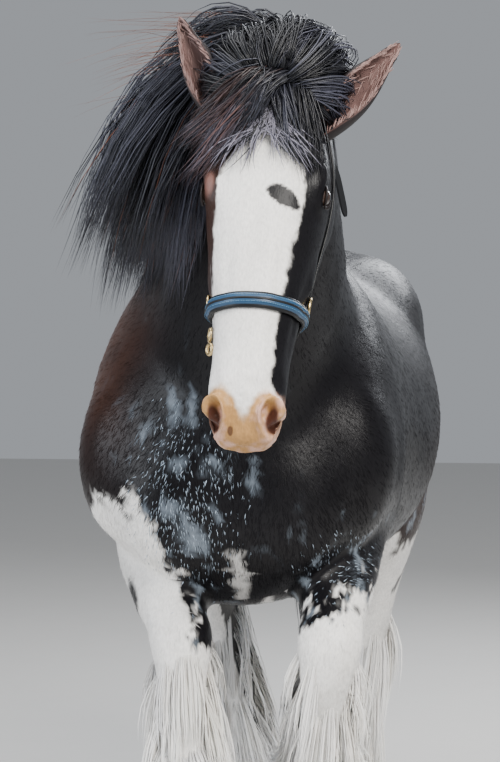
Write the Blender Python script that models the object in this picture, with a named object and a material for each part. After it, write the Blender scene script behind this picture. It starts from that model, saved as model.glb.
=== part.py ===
"""A life-size Clydesdale horse at a canter, held on a museum stand.

The horse faces -Y, its left side is +X and up is +Z, in metres. The origin is the centre of the
stand's underside. The horse is caught as its forehand rises: both hind hooves stand on the plate,
the right foreleg reaches forward, the left one is folded at the knee, and two rods under the
girth carry the front. The mane blows to the horse's right.
"""

import math
from typing import NamedTuple

import bmesh
import bpy
import numpy as np
from mathutils import Matrix, Vector
from mathutils.bvhtree import BVHTree

# Gaps and the stand
GAP = 0.0003
CLEARANCE = 0.0006
SHARE = 0.7
PLATE_LENGTH = 2.10
PLATE_WIDTH = 0.84
PLATE_THICK = 0.03
PLATE_BEVEL = 0.006
ROD_RADIUS = 0.018
ROD_PLACES = {"right": (-0.17, -0.20), "left": (0.145, -0.20)}
FLANGE_RADIUS = 0.055
FLANGE_HEIGHT = 0.012

# The head's own frame: it runs from the poll to the muzzle
POLL = Vector((0.150, -1.27, 2.03))
HEAD_PITCH = math.radians(31)
HEAD_ROLL = math.radians(-2.0)
EYE_PLACE = (0.245, 0.104, -0.016)
EYE_RADIUS = 0.0225
EYE_GAPE = (0.0215, 0.0125)
NOSTRIL_PLACE = (0.702, 0.062, -0.022)
MOUTH_LEVEL = -0.122
EAR_LENGTH = 0.238
EAR_WIDTH = 0.044
EAR_THICK = 0.008

# Remeshing steps, and how many faces each form keeps
TRUNK_VOXEL = 0.02
BODY_VOXEL = 0.014
HEAD_VOXEL = 0.0065
BODY_FACES = 2350
HEAD_FACES = 1120
LOFT_SIDES = 24
RING_STEPS = 3

# Hooves
HOOF_HEIGHT = 0.118
HOOF_TOP = 0.078
HOOF_SOLE = 0.102
HOOF_SLOPE = 0.055

# Locks of hair: width and thickness where they are fullest, and how many there are
LOCK_SIZES = {
    "broad": (0.064, 0.015),
    "middle": (0.040, 0.013),
    "narrow": (0.030, 0.011),
    "fine": (0.018, 0.008),
    "long": (0.062, 0.020),
    "feather": (0.072, 0.012),
}
MANE_LOCKS = 43
TOP_LOCKS = 8
FORELOCK_LOCKS = 14
TAIL_LOCKS = 16
FEATHER_LOCKS = {"low": 9, "high": 7, "cannon": 3}
MANE_FACES = 2950
FORELOCK_FACES = 900
TAIL_FACES = 1000
FETLOCK_FACES = 780
MANE_CORE = 0.022
FORELOCK_CORE = 0.018

# Straps of the halter
STRAP_WIDTH = 0.026
STRAP_THICK = 0.006
STRAP_LIFT = 0.0034
NOSEBAND_WIDTH = 0.036
NOSEBAND_THICK = 0.014
NOSEBAND_PLACE = 0.472
NOSEBAND_TILT = 0.024

SIDES = {"right": -1, "left": 1}
BOX_FACES = [(0, 1, 3, 2), (4, 6, 7, 5), (0, 4, 5, 1), (2, 3, 7, 6), (0, 2, 6, 4), (1, 5, 7, 3)]

COAT_BLACK = (0.022, 0.017, 0.016, 1)
COAT_WHITE = (0.83, 0.80, 0.76, 1)
FACE_WHITE = (0.80, 0.76, 0.72, 1)
HAIR_BLACK = (0.03, 0.026, 0.03, 1)
HORN = (0.42, 0.34, 0.26, 1)
EYE_BROWN = (0.03, 0.015, 0.008, 1)
STRAP_BLUE = (0.03, 0.12, 0.22, 1)
STRAP_BLACK = (0.02, 0.02, 0.024, 1)
STAND_GREY = (0.25, 0.25, 0.26, 1)


class Ring(NamedTuple):
    """One cross-section: its centre, its up and side directions, and its half sizes."""

    centre: Vector
    up_axis: Vector
    side_axis: Vector
    wide: float
    up: float
    down: float
    square: float = 2.0
    pinch_up: float = 0.0
    pinch_down: float = 0.0


# Basic shapes


def material(name, colour, roughness, metallic=0.0):
    """A Principled material of that name, made once."""
    found = bpy.data.materials.get(name)
    if found:
        return found
    made = bpy.data.materials.new(name)
    made.use_nodes = True
    shader = made.node_tree.nodes["Principled BSDF"]
    shader.inputs["Base Color"].default_value = colour
    shader.inputs["Roughness"].default_value = roughness
    shader.inputs["Metallic"].default_value = metallic
    made.diffuse_color = colour
    return made


def object_from(name, points, faces):
    """A mesh object whose faces all point outwards."""
    mesh = bpy.data.meshes.new(name)
    mesh.from_pydata([tuple(p) for p in points], [], faces)
    shape = bmesh.new()
    shape.from_mesh(mesh)
    bmesh.ops.recalc_face_normals(shape, faces=shape.faces)
    bmesh.ops.triangulate(shape, faces=shape.faces)
    shape.to_mesh(mesh)
    shape.free()
    made = bpy.data.objects.new(name, mesh)
    bpy.context.scene.collection.objects.link(made)
    return made


def through(values, steps):
    """Values between the given ones, on a Catmull-Rom curve with `steps` spans in each stretch."""
    points = np.asarray(values, float)
    padded = np.vstack([2 * points[0] - points[1], points, 2 * points[-1] - points[-2]])
    rows = []
    for i in range(1, len(padded) - 2):
        a, b, c, d = padded[i - 1 : i + 3]
        for t in np.arange(steps) / steps:
            bend = 2 * a - 5 * b + 4 * c - d
            twist = 3 * b - a - 3 * c + d
            rows.append(0.5 * (2 * b + (c - a) * t + bend * t**2 + twist * t**3))
    rows.append(points[-1])
    return np.array(rows)


def outline(ring, sides):
    """The points of one cross-section, superelliptic and narrowed towards its top and underside."""
    rows = []
    for angle in 2 * math.pi * np.arange(sides) / sides:
        c, s = math.cos(angle), math.sin(angle)
        across = math.copysign(abs(c) ** (2 / ring.square), c)
        height = math.copysign(abs(s) ** (2 / ring.square), s)
        pinch = ring.pinch_up * max(height, 0) ** 1.5 + ring.pinch_down * max(-height, 0) ** 1.5
        reach = ring.up if s > 0 else ring.down
        side = ring.side_axis * (across * ring.wide * (1 - pinch))
        rows.append(ring.centre + side + ring.up_axis * (height * reach))
    return rows


def between(rings, steps):
    """The rings with smooth ones added between them."""
    table = [[*r.centre, *r.up_axis, *r.side_axis, *r[3:]] for r in rings]
    return [
        Ring(Vector(row[0:3]), Vector(row[3:6]).normalized(), Vector(row[6:9]).normalized(), *row[9:])
        for row in through(table, steps)
    ]


def loft(name, rings, sides=LOFT_SIDES, steps=RING_STEPS):
    """A closed solid through the rings."""
    points, faces = [], []
    smooth = between(rings, steps)
    for ring in smooth:
        points += outline(ring, sides)
    for i in range(len(smooth) - 1):
        for j in range(sides):
            k = (j + 1) % sides
            faces.append((i * sides + j, i * sides + k, (i + 1) * sides + k, (i + 1) * sides + j))
    faces.append(tuple(range(sides)))
    faces.append(tuple((len(smooth) - 1) * sides + j for j in range(sides)))
    return object_from(name, points, faces)


def blob(name, place, radii, axes=None, segments=20):
    """An ellipsoid, with its radii along the given axes or the world's."""
    bpy.ops.mesh.primitive_uv_sphere_add(segments=segments, ring_count=segments // 2 + 2, radius=1)
    made = bpy.context.object
    made.name = name
    turn = Matrix(axes).transposed().to_4x4() if axes else Matrix.Identity(4)
    made.data.transform(Matrix.Translation(place) @ turn @ Matrix.Diagonal((*radii, 1)))
    if turn.determinant() < 0:
        made.data.flip_normals()
    return made


def slab(corner, opposite):
    """A box between two corners."""
    low, high = Vector(corner), Vector(opposite)
    points = [(x, y, z) for x in (low.x, high.x) for y in (low.y, high.y) for z in (low.z, high.z)]
    return object_from("slab", points, BOX_FACES)


def cylinder(place, radius, height, sides):
    """An upright cylinder standing on that place."""
    up, side = Vector((0, -1, 0)), Vector((1, 0, 0))
    ends = [Vector(place), Vector(place) + Vector((0, 0, height))]
    return loft("cylinder", [Ring(end, up, side, radius, radius, radius) for end in ends], sides, 1)


# Fusing, cutting and parting


def apply_all(thing):
    """Makes what the modifiers do part of the mesh, in triangles."""
    graph = bpy.context.evaluated_depsgraph_get()
    mesh = bpy.data.meshes.new_from_object(thing.evaluated_get(graph))
    shape = bmesh.new()
    shape.from_mesh(mesh)
    bmesh.ops.triangulate(shape, faces=shape.faces)
    shape.to_mesh(mesh)
    shape.free()
    thing.modifiers.clear()
    thing.data = mesh


def surfaces(shape):
    """The vertices of each surface of a mesh that hangs together."""
    left, groups = set(shape.verts), []
    while left:
        stack, group = [left.pop()], set()
        while stack:
            vert = stack.pop()
            group.add(vert)
            for edge in vert.link_edges:
                other = edge.other_vert(vert)
                if other in left:
                    left.discard(other)
                    stack.append(other)
        groups.append(group)
    return groups


def keep_largest(thing):
    """Keeps only the closed surface that takes the most room."""
    shape = bmesh.new()
    shape.from_mesh(thing.data)
    groups = surfaces(shape)
    if len(groups) > 1:
        rooms = []
        for group in groups:
            faces = {face for vert in group for face in vert.link_faces}
            rooms.append(sum(f.normal.dot(f.calc_center_median()) * f.calc_area() for f in faces))
        largest = groups[int(np.argmax(rooms))]
        loose = [v for group in groups if group is not largest for v in group]
        bmesh.ops.delete(shape, geom=loose, context="VERTS")
        shape.to_mesh(thing.data)
    shape.free()


def is_closed(mesh):
    """Whether a mesh is closed everywhere and takes up room."""
    shape = bmesh.new()
    shape.from_mesh(mesh)
    good = len(shape.faces) > 3 and all(edge.is_manifold for edge in shape.edges)
    good = good and shape.calc_volume(signed=True) > 1e-9
    shape.free()
    return good


def fuse(name, forms, voxel, smoothing, faces=0):
    """One smooth closed skin over overlapping forms, thinned to about that many faces."""
    points, polygons, start = [], [], 0
    for form in forms:
        points += [v.co.copy() for v in form.data.vertices]
        polygons += [tuple(start + i for i in p.vertices) for p in form.data.polygons]
        start = len(points)
        bpy.data.objects.remove(form)
    mesh = bpy.data.meshes.new(name)
    mesh.from_pydata(points, [], polygons)
    made = bpy.data.objects.new(name, mesh)
    bpy.context.scene.collection.objects.link(made)
    remesh = made.modifiers.new("skin", "REMESH")
    remesh.mode = "VOXEL"
    remesh.voxel_size = voxel
    smooth = made.modifiers.new("soften", "SMOOTH")
    smooth.factor = 0.5
    smooth.iterations = smoothing
    apply_all(made)
    keep_largest(made)
    return thinned(made, faces) if faces else made


def thinned(thing, faces):
    """Collapses the smallest details down to about that many faces, or as near as stays closed."""
    full, count = thing.data, len(thing.data.polygons)
    while faces < count:
        thing.data = full
        thin = thing.modifiers.new("thin", "DECIMATE")
        thin.ratio = faces / count
        apply_all(thing)
        if is_closed(thing.data):
            return thing
        faces *= 1.03
    thing.data = full
    return thing


def boolean(thing, others, operation):
    """Joins or cuts with all the others at once, applied; the others are removed.

    Where shapes meet edge on edge neither solver may leave a closed body, so the others are then
    moved by a hair's breadth and tried again.
    """
    collection = bpy.data.collections.new("operands")
    bpy.context.scene.collection.children.link(collection)
    for other in others:
        collection.objects.link(other)
    before = thing.data
    for attempt in range(8):
        thing.data = before
        modifier = thing.modifiers.new(operation.lower(), "BOOLEAN")
        modifier.operation = operation
        modifier.solver = "MANIFOLD" if attempt % 2 else "EXACT"
        modifier.operand_type = "COLLECTION"
        modifier.collection = collection
        apply_all(thing)
        if is_closed(thing.data):
            break
        for other in others if attempt % 2 else []:
            other.data.transform(Matrix.Translation((0.00003, -0.00002, 0.00004)))
    for other in others:
        bpy.data.objects.remove(other)
    bpy.data.collections.remove(collection)
    keep_largest(thing)
    return thing


def copy_of(thing, name="copy"):
    """The same mesh as another object of its own."""
    made = bpy.data.objects.new(name, thing.data.copy())
    bpy.context.scene.collection.objects.link(made)
    return made


def swollen(thing, by):
    """A copy whose surface stands out by that much."""
    made = copy_of(thing)
    push = made.modifiers.new("push", "DISPLACE")
    push.mid_level = 0
    push.strength = by
    apply_all(made)
    return made


def part_off(flesh, name, cutter):
    """Takes what lies inside the cutter off the flesh as a node, with a gap between them."""
    node = copy_of(flesh, name)
    boolean(node, [swollen(cutter, -GAP * SHARE)], "INTERSECT")
    boolean(flesh, [swollen(cutter, GAP * SHARE)], "DIFFERENCE")
    bpy.data.objects.remove(cutter)
    return node


def clear_of(thing, others, by=CLEARANCE):
    """Cuts a node clear of others by that much."""
    return boolean(thing, [swollen(other, by) for other in others], "DIFFERENCE")


def finish(thing, name, look, angle=40):
    """Names a node, gives it its material and shades it."""
    thing.name = name
    thing.data.name = name
    thing.data.materials.clear()
    thing.data.materials.append(look)
    thing.data.shade_smooth()
    thing.data.set_sharp_from_angle(angle=math.radians(angle))
    return thing


def tree_of(things):
    """One search tree over the surfaces of several objects."""
    points, polygons = [], []
    for thing in things:
        start = len(points)
        points += [v.co.copy() for v in thing.data.vertices]
        polygons += [tuple(start + i for i in p.vertices) for p in thing.data.polygons]
    return BVHTree.FromPolygons(points, polygons)


# The flesh


def torso_rings():
    """From the breast to the buttocks: place, widest level, half width, height over and under it."""
    stations = [
        (-0.885, 1.24, 0.10, 0.10, 0.12, 2.0, 0.0, 0.0),
        (-0.84, 1.25, 0.24, 0.22, 0.25, 2.0, 0.0, 0.0),
        (-0.74, 1.29, 0.330, 0.34, 0.37, 2.3, 0.2, 0.15),
        (-0.58, 1.33, 0.362, 0.43, 0.425, 2.4, 0.25, 0.15),
        (-0.40, 1.34, 0.372, 0.49, 0.44, 2.3, 0.40, 0.15),
        (-0.22, 1.32, 0.382, 0.50, 0.43, 2.2, 0.45, 0.1),
        (-0.02, 1.29, 0.405, 0.44, 0.41, 2.2, 0.3, 0.0),
        (0.18, 1.28, 0.422, 0.42, 0.40, 2.2, 0.2, 0.0),
        (0.36, 1.30, 0.418, 0.42, 0.37, 2.2, 0.2, 0.0),
        (0.52, 1.34, 0.395, 0.425, 0.34, 2.2, 0.2, 0.0),
        (0.68, 1.38, 0.372, 0.38, 0.31, 2.2, 0.25, 0.0),
        (0.83, 1.38, 0.325, 0.30, 0.27, 2.2, 0.2, 0.0),
        (0.93, 1.37, 0.235, 0.20, 0.20, 2.0, 0.0, 0.0),
        (0.975, 1.36, 0.12, 0.10, 0.10, 2.0, 0.0, 0.0),
    ]
    up, side = Vector((0, 0, 1)), Vector((1, 0, 0))
    return [Ring(Vector((0, y, z)), up, side, *sizes) for y, z, *sizes in stations]


def neck_rings():
    """From inside the chest to the poll: sideways place, crest, throat, half width and pinch."""
    stations = [
        (0.000, (-0.20, 1.78), (-0.62, 1.06), 0.285, 0.45),
        (0.010, (-0.42, 1.87), (-0.80, 1.18), 0.260, 0.50),
        (0.045, (-0.64, 1.965), (-0.91, 1.37), 0.210, 0.50),
        (0.085, (-0.84, 2.045), (-0.985, 1.54), 0.168, 0.45),
        (0.120, (-1.02, 2.090), (-1.055, 1.68), 0.138, 0.40),
        (0.145, (-1.18, 2.080), (-1.14, 1.78), 0.116, 0.30),
    ]
    rings = []
    for x, crest, throat, wide, pinch in stations:
        top, low = Vector((x, *crest)), Vector((x, *throat))
        half = (top - low).length / 2
        up = (top - low).normalized()
        rings.append(Ring((top + low) / 2, up, Vector((1, 0, 0)), wide, half, half, 2.2, pinch, 0.15))
    return rings


def head_axes():
    """The head's directions: along to the muzzle, out to its left, and up out of its face."""
    along = Vector((0, -math.sin(HEAD_PITCH), -math.cos(HEAD_PITCH)))
    up = Vector((0, -math.cos(HEAD_PITCH), math.sin(HEAD_PITCH)))
    roll = Matrix.Rotation(HEAD_ROLL, 3, up)
    return roll @ along, roll @ Vector((1, 0, 0)), up


def on_head(place):
    """The world point of a place given along the head, to its left and out of its face."""
    along, side, up = head_axes()
    return POLL + along * place[0] + side * place[1] + up * place[2]


def head_rings():
    """From the back of the skull to the lips: place, level, half width, height over and under."""
    stations = [
        (-0.030, -0.09, 0.080, 0.085, 0.085, 2.0, 0.0, 0.0),
        (0.030, -0.10, 0.104, 0.128, 0.130, 2.2, 0.1, 0.1),
        (0.100, -0.10, 0.118, 0.152, 0.172, 2.4, 0.2, 0.2),
        (0.170, -0.085, 0.124, 0.140, 0.205, 2.6, 0.12, 0.35),
        (0.240, -0.070, 0.124, 0.122, 0.218, 2.7, 0.12, 0.4),
        (0.310, -0.065, 0.116, 0.109, 0.205, 2.7, 0.18, 0.42),
        (0.380, -0.065, 0.104, 0.098, 0.172, 2.6, 0.18, 0.4),
        (0.450, -0.070, 0.093, 0.092, 0.135, 2.5, 0.15, 0.3),
        (0.520, -0.070, 0.083, 0.084, 0.110, 2.4, 0.15, 0.2),
        (0.580, -0.070, 0.077, 0.077, 0.098, 2.3, 0.12, 0.15),
        (0.640, -0.070, 0.077, 0.069, 0.092, 2.2, 0.1, 0.2),
        (0.690, -0.078, 0.074, 0.060, 0.076, 2.2, 0.1, 0.2),
        (0.730, -0.085, 0.064, 0.045, 0.055, 2.0, 0.0, 0.1),
        (0.755, -0.090, 0.040, 0.026, 0.030, 2.0, 0.0, 0.0),
    ]
    _, side, up = head_axes()
    return [Ring(on_head((along, 0, level)), up, side, *sizes) for along, level, *sizes in stations]


# Each leg from its root to the coronet: place, half width, and depth in front and behind
LEGS = {
    "fore_right": [
        ((-0.205, -0.36, 1.20), 0.130, 0.150, 0.150),
        ((-0.208, -0.46, 1.10), 0.122, 0.130, 0.130),
        ((-0.188, -0.58, 1.02), 0.105, 0.112, 0.112),
        ((-0.158, -0.70, 0.955), 0.088, 0.090, 0.088),
        ((-0.125, -0.790, 0.900), 0.073, 0.068, 0.068),
        ((-0.105, -0.848, 0.858), 0.074, 0.068, 0.065),
        ((-0.098, -0.878, 0.806), 0.064, 0.058, 0.062),
        ((-0.092, -0.904, 0.736), 0.052, 0.049, 0.058),
        ((-0.085, -0.928, 0.652), 0.048, 0.047, 0.058),
        ((-0.078, -0.955, 0.572), 0.060, 0.060, 0.068),
        ((-0.074, -0.992, 0.516), 0.055, 0.054, 0.058),
        ((-0.071, -1.035, 0.472), 0.070, 0.072, 0.068),
        ((-0.069, -1.062, 0.446), 0.074, 0.076, 0.070),
    ],
    "fore_left": [
        ((0.200, -0.36, 1.20), 0.130, 0.150, 0.150),
        ((0.208, -0.46, 1.10), 0.122, 0.130, 0.130),
        ((0.216, -0.58, 1.025), 0.105, 0.112, 0.112),
        ((0.221, -0.70, 0.960), 0.089, 0.090, 0.088),
        ((0.222, -0.79, 0.905), 0.074, 0.069, 0.068),
        ((0.221, -0.848, 0.858), 0.076, 0.070, 0.066),
        ((0.216, -0.858, 0.792), 0.065, 0.060, 0.062),
        ((0.207, -0.842, 0.724), 0.052, 0.050, 0.058),
        ((0.195, -0.812, 0.648), 0.048, 0.048, 0.058),
        ((0.185, -0.772, 0.578), 0.060, 0.062, 0.066),
        ((0.179, -0.714, 0.537), 0.055, 0.054, 0.057),
        ((0.175, -0.657, 0.510), 0.070, 0.072, 0.068),
        ((0.173, -0.625, 0.496), 0.074, 0.076, 0.070),
    ],
    "hind_right": [
        ((-0.180, 0.64, 1.42), 0.185, 0.25, 0.26),
        ((-0.215, 0.57, 1.24), 0.175, 0.23, 0.24),
        ((-0.252, 0.50, 1.07), 0.150, 0.180, 0.230),
        ((-0.268, 0.56, 0.92), 0.115, 0.125, 0.150),
        ((-0.258, 0.65, 0.780), 0.084, 0.082, 0.096),
        ((-0.245, 0.71, 0.675), 0.072, 0.078, 0.086),
        ((-0.222, 0.712, 0.590), 0.060, 0.061, 0.066),
        ((-0.187, 0.675, 0.470), 0.049, 0.050, 0.058),
        ((-0.150, 0.630, 0.345), 0.061, 0.064, 0.068),
        ((-0.134, 0.588, 0.270), 0.056, 0.056, 0.060),
        ((-0.121, 0.545, 0.195), 0.072, 0.076, 0.072),
        ((-0.116, 0.528, 0.160), 0.078, 0.080, 0.076),
    ],
    "hind_left": [
        ((0.175, 0.60, 1.42), 0.185, 0.25, 0.26),
        ((0.208, 0.50, 1.24), 0.175, 0.23, 0.24),
        ((0.230, 0.40, 1.08), 0.150, 0.180, 0.230),
        ((0.220, 0.45, 0.93), 0.115, 0.125, 0.150),
        ((0.206, 0.52, 0.790), 0.084, 0.082, 0.096),
        ((0.196, 0.57, 0.680), 0.070, 0.076, 0.084),
        ((0.188, 0.562, 0.600), 0.060, 0.061, 0.066),
        ((0.172, 0.505, 0.480), 0.049, 0.050, 0.058),
        ((0.156, 0.435, 0.350), 0.061, 0.064, 0.068),
        ((0.150, 0.385, 0.275), 0.056, 0.056, 0.060),
        ((0.146, 0.335, 0.200), 0.072, 0.076, 0.072),
        ((0.145, 0.314, 0.160), 0.078, 0.080, 0.076),
    ],
}
LEG_START = {"fore": 2.5, "hind": 2.5}
LEG_SPREAD = {"fore": 1.32, "hind": 1.24}
LIMB_SEAMS = {"cannon": {"fore": 6.0, "hind": 6.25}, "fetlock": {"fore": 7.75, "hind": 7.0}}


def leg_rings(leg, start=0.0, grow=1.0):
    """Rings down a leg from a place on it, all made wider by the same factor."""
    table = through([[*place, wide, ahead, behind] for place, wide, ahead, behind in LEGS[leg]], 4)
    rows = table[int(round(start * 4)) :]
    front, rings = Vector((0, -1, 0)), []
    for i, row in enumerate(rows):
        run = Vector(rows[min(i + 1, len(rows) - 1)][:3]) - Vector(rows[max(i - 1, 0)][:3])
        run.normalize()
        up = (front - run * front.dot(run)).normalized()
        sizes = [float(size) * grow for size in row[3:6]]
        rings.append(Ring(Vector(row[:3]), up, up.cross(run).normalized(), *sizes, 2.1))
    return rings


def body_muscles():
    """Masses that round the body, alike on both sides: place, radii, lean inwards, slope to the front."""
    masses = {
        "shoulder_blade": ((0.240, -0.50, 1.40), (0.115, 0.22, 0.32), 14, 12),
        "shoulder_point": ((0.252, -0.70, 1.25), (0.115, 0.14, 0.20), 0, 0),
        "upper_arm": ((0.255, -0.42, 1.18), (0.105, 0.19, 0.18), 0, 0),
        "breast": ((0.115, -0.80, 1.17), (0.145, 0.10, 0.19), 0, 0),
        "rump": ((0.165, 0.56, 1.52), (0.20, 0.33, 0.21), 0, 0),
        "buttock": ((0.180, 0.76, 1.27), (0.155, 0.165, 0.30), 0, 0),
        "hamstring": ((0.228, 0.69, 1.05), (0.115, 0.120, 0.27), -4, 24),
    }
    made = []
    for name, (place, radii, lean, slope) in masses.items():
        for side in SIDES.values():
            turn = Matrix.Rotation(math.radians(-lean * side), 3, "Y") @ Matrix.Rotation(math.radians(-slope), 3, "X")
            made.append(blob(name, (place[0] * side, *place[1:]), radii, list(turn.transposed())))
    return made


def head_muscles():
    """Masses of the head in its own frame, alike on both sides, and the chin."""
    masses = {
        "cheek": ((0.165, 0.072, -0.185), (0.115, 0.048, 0.095)),
        "brow": ((0.215, 0.090, 0.004), (0.055, 0.034, 0.030)),
        "orbit": ((0.245, 0.098, -0.016), (0.042, 0.031, 0.033)),
        "face_crest": ((0.360, 0.098, -0.078), (0.080, 0.012, 0.014)),
        "nostril_wing": ((0.694, 0.045, -0.044), (0.042, 0.031, 0.032)),
        "upper_lip": ((0.722, 0.026, -0.082), (0.032, 0.038, 0.032)),
        "lower_lip": ((0.700, 0.024, -0.142), (0.040, 0.032, 0.019)),
    }
    axes = head_axes()
    made = []
    for name, (place, radii) in masses.items():
        for hand in SIDES.values():
            made.append(blob(name, on_head((place[0], place[1] * hand, place[2])), radii, axes))
    made.append(blob("chin", on_head((0.668, 0, -0.160)), (0.034, 0.034, 0.022), axes))
    return made


def build_flesh():
    """The whole trunk, neck and legs as one skin, and the head as a finer one."""
    roots = [loft("root_form", leg_rings(leg)[:10], 20, 1) for leg in LEGS]
    trunk = [loft("torso_form", torso_rings(), 32), loft("neck_form", neck_rings(), 28)]
    trunk = fuse("trunk", [*trunk, *roots, *body_muscles()], TRUNK_VOXEL, 22)
    legs = [loft("leg_form", leg_rings(leg), 20, 1) for leg in LEGS]
    skull = loft("head_form", head_rings(), 28)
    body = fuse("body", [trunk, skull, *legs], BODY_VOXEL, 6, BODY_FACES)
    forms = [loft("head_form", head_rings(), 32), loft("neck_form", neck_rings()[2:], 28)]
    head = fuse("head", [*forms, *head_muscles()], HEAD_VOXEL, 12, HEAD_FACES)
    return body, head


def neck_cutter():
    """A wide tube round the neck and head, from a slanting plane through the withers and breast."""
    top, low = Vector((0.02, -0.40, 1.90)), Vector((0.02, -0.90, 1.38))
    first = Ring((top + low) / 2, (top - low).normalized(), Vector((1, 0, 0)), 0.5, 0.50, 0.50)
    rings = [first]
    for ring in neck_rings()[3:]:
        rings.append(ring._replace(wide=0.4, up=ring.up * 1.6, down=ring.down * 1.6, pinch_up=0))
    last = rings[-1]._replace(wide=0.4, up=0.5, down=0.5)
    near = last._replace(centre=on_head((0.1, 0, -0.1)))
    return loft("cutter", [*rings, near, last._replace(centre=on_head((0.95, 0, -0.1)))], 16, 1)


def head_cutter():
    """A prism ahead of the line from behind the ears to behind the jaw, and above the throat."""
    side = [(-0.20, 0.346), (-0.045, 0.06), (0.150, -0.30), (0.166, -0.33), (1.0, -0.33), (1.0, 0.346)]
    points = [on_head((along, s, up)) for s in (-0.4, 0.4) for along, up in side]
    count = len(side)
    faces = [(i, (i + 1) % count, count + (i + 1) % count, count + i) for i in range(count)]
    return object_from("cutter", points, [*faces, tuple(range(count)), tuple(range(count, 2 * count))])


def seam_cutter(leg, seam):
    """A box down one leg from one of its seams."""
    rings = leg_rings(leg, LIMB_SEAMS[seam][leg.split("_")[0]])
    down = (rings[-1].centre - rings[0].centre).normalized()
    if seam == "fetlock":
        down = (down + (rings[1].centre - rings[0].centre).normalized()).normalized()
    side = (Vector((1, 0, 0)) - down * down.x).normalized()
    front = side.cross(down)
    reach = (rings[-1].centre - rings[0].centre).length + 0.15
    points = []
    for d in (0, reach):
        for f in (-0.30, 0.30):
            for x in (-0.13, 0.13):
                points.append(rings[0].centre + down * d + front * f + side * x)
    return object_from("cutter", points, BOX_FACES)


def limb_cutter(leg):
    """A straight wide tube round one leg from its seam with the trunk to past its knee or hock."""
    kind = leg.split("_")[0]
    rings = leg_rings(leg, LEG_START[kind], LEG_SPREAD[kind])
    first, joint = rings[0], rings[int((5.0 - LEG_START[kind]) * 4)]
    run = (joint.centre - first.centre).normalized()
    up = (Vector((0, -1, 0)) - run * -run.y).normalized()
    side = up.cross(run).normalized()
    ends = [first._replace(up_axis=up, side_axis=side)]
    for reach, grow in ((0.0, 1.45), (0.35, 1.9)):
        sizes = {"wide": joint.wide * grow, "up": joint.up * grow, "down": joint.down * grow}
        ends.append(joint._replace(centre=joint.centre + run * reach, up_axis=up, side_axis=side, **sizes))
    return loft("cutter", ends, 14, 1)


def limb_nodes(body):
    """Parts each fetlock with its pastern off the body, then each cannon, then the leg above it."""
    made = {}
    for leg in LEGS:
        for seam in ("fetlock", "cannon"):
            made[leg + "_" + seam] = part_off(body, leg + "_" + seam, seam_cutter(leg, seam))
        made[leg + "_leg"] = part_off(body, leg + "_leg", limb_cutter(leg))
    return made


# The head's openings


def lid_opening(hand):
    """An almond between the lids, from inside the eyeball outwards."""
    along, side, up = head_axes()
    out = side * hand
    centre = on_head((EYE_PLACE[0], EYE_PLACE[1] * hand, EYE_PLACE[2]))
    across = (along * 0.8 + up * 0.6).normalized()
    lift = across.cross(out).normalized()
    points = []
    for depth, grow in ((0.004, 0.8), (0.05, 1.9)):
        for angle in 2 * math.pi * np.arange(14) / 14:
            x = math.cos(angle) * EYE_GAPE[0] * grow
            y = math.copysign(abs(math.sin(angle)) ** 1.25, math.sin(angle)) * EYE_GAPE[1] * grow
            points.append(centre + out * depth + across * x + lift * y)
    faces = [(j, (j + 1) % 14, 14 + (j + 1) % 14, 14 + j) for j in range(14)]
    return object_from("cutter", points, [*faces, tuple(range(14)), tuple(range(14, 28))])


def mouth_opening():
    """A thin wedge between the lips that widens forwards."""
    points = []
    for a, thick in ((0.625, 0.0008), (0.79, 0.0030)):
        for s in (-0.12, 0.12):
            for t in (-thick, thick):
                points.append(on_head((a, s, MOUTH_LEVEL + 0.2 * (a - 0.7) + t)))
    return object_from("cutter", points, BOX_FACES)


def open_face(head):
    """Cuts the eye sockets, the slits between the lids, the nostrils and the mouth."""
    along, side, up = head_axes()
    cuts = [mouth_opening()]
    for hand in SIDES.values():
        centre = on_head((EYE_PLACE[0], EYE_PLACE[1] * hand, EYE_PLACE[2]))
        cuts.append(blob("cutter", centre, [EYE_RADIUS + CLEARANCE] * 3, segments=12))
        cuts.append(lid_opening(hand))
        turn = Matrix.Rotation(math.radians(26 * hand), 3, up)
        turn = turn @ Matrix.Rotation(math.radians(-28 * hand), 3, along)
        place = on_head((NOSTRIL_PLACE[0], NOSTRIL_PLACE[1] * hand, NOSTRIL_PLACE[2]))
        cuts.append(blob("cutter", place, (0.028, 0.0125, 0.030), [turn @ axis for axis in (along, side, up)], 14))
    return boolean(head, cuts, "DIFFERENCE")


def ear(hand, base, run, front):
    """A cupped ear, from its base on the head to its tip, open to the front."""
    run = run.normalized()
    front = (front - run * front.dot(run)).normalized()
    across = run.cross(front).normalized() * hand
    spans, arc, shells = 8, 7, []
    for inner in (0, 1):
        rows = []
        for i in range(spans + 1):
            t = i / spans
            swell = 0.70 + 0.30 * math.sin(math.pi * min(t * 1.25, 1)) if t < 0.8 else 0.70
            wide = EAR_WIDTH * swell * max(1 - t**2.6, 0) ** 0.6 + 0.0012
            thick = EAR_THICK * (1 - 0.55 * t) * inner
            reach = max(wide - thick, 0.0006)
            centre = on_head(base) + run * (t * EAR_LENGTH - 0.02) + front * (0.018 * math.sin(math.pi * t))
            centre += front * (thick * 0.3) + run * (0.014 * inner if i == 0 else 0)
            half, row = math.radians(150 - 60 * t), []
            for j in range(arc):
                angle = -half + 2 * half * j / (arc - 1)
                row.append(centre + across * (math.sin(angle) * reach) - front * (math.cos(angle) * reach * 0.85))
            rows.append(row)
        shells.append(rows)
    return shell_solid("ear", *shells)


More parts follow.
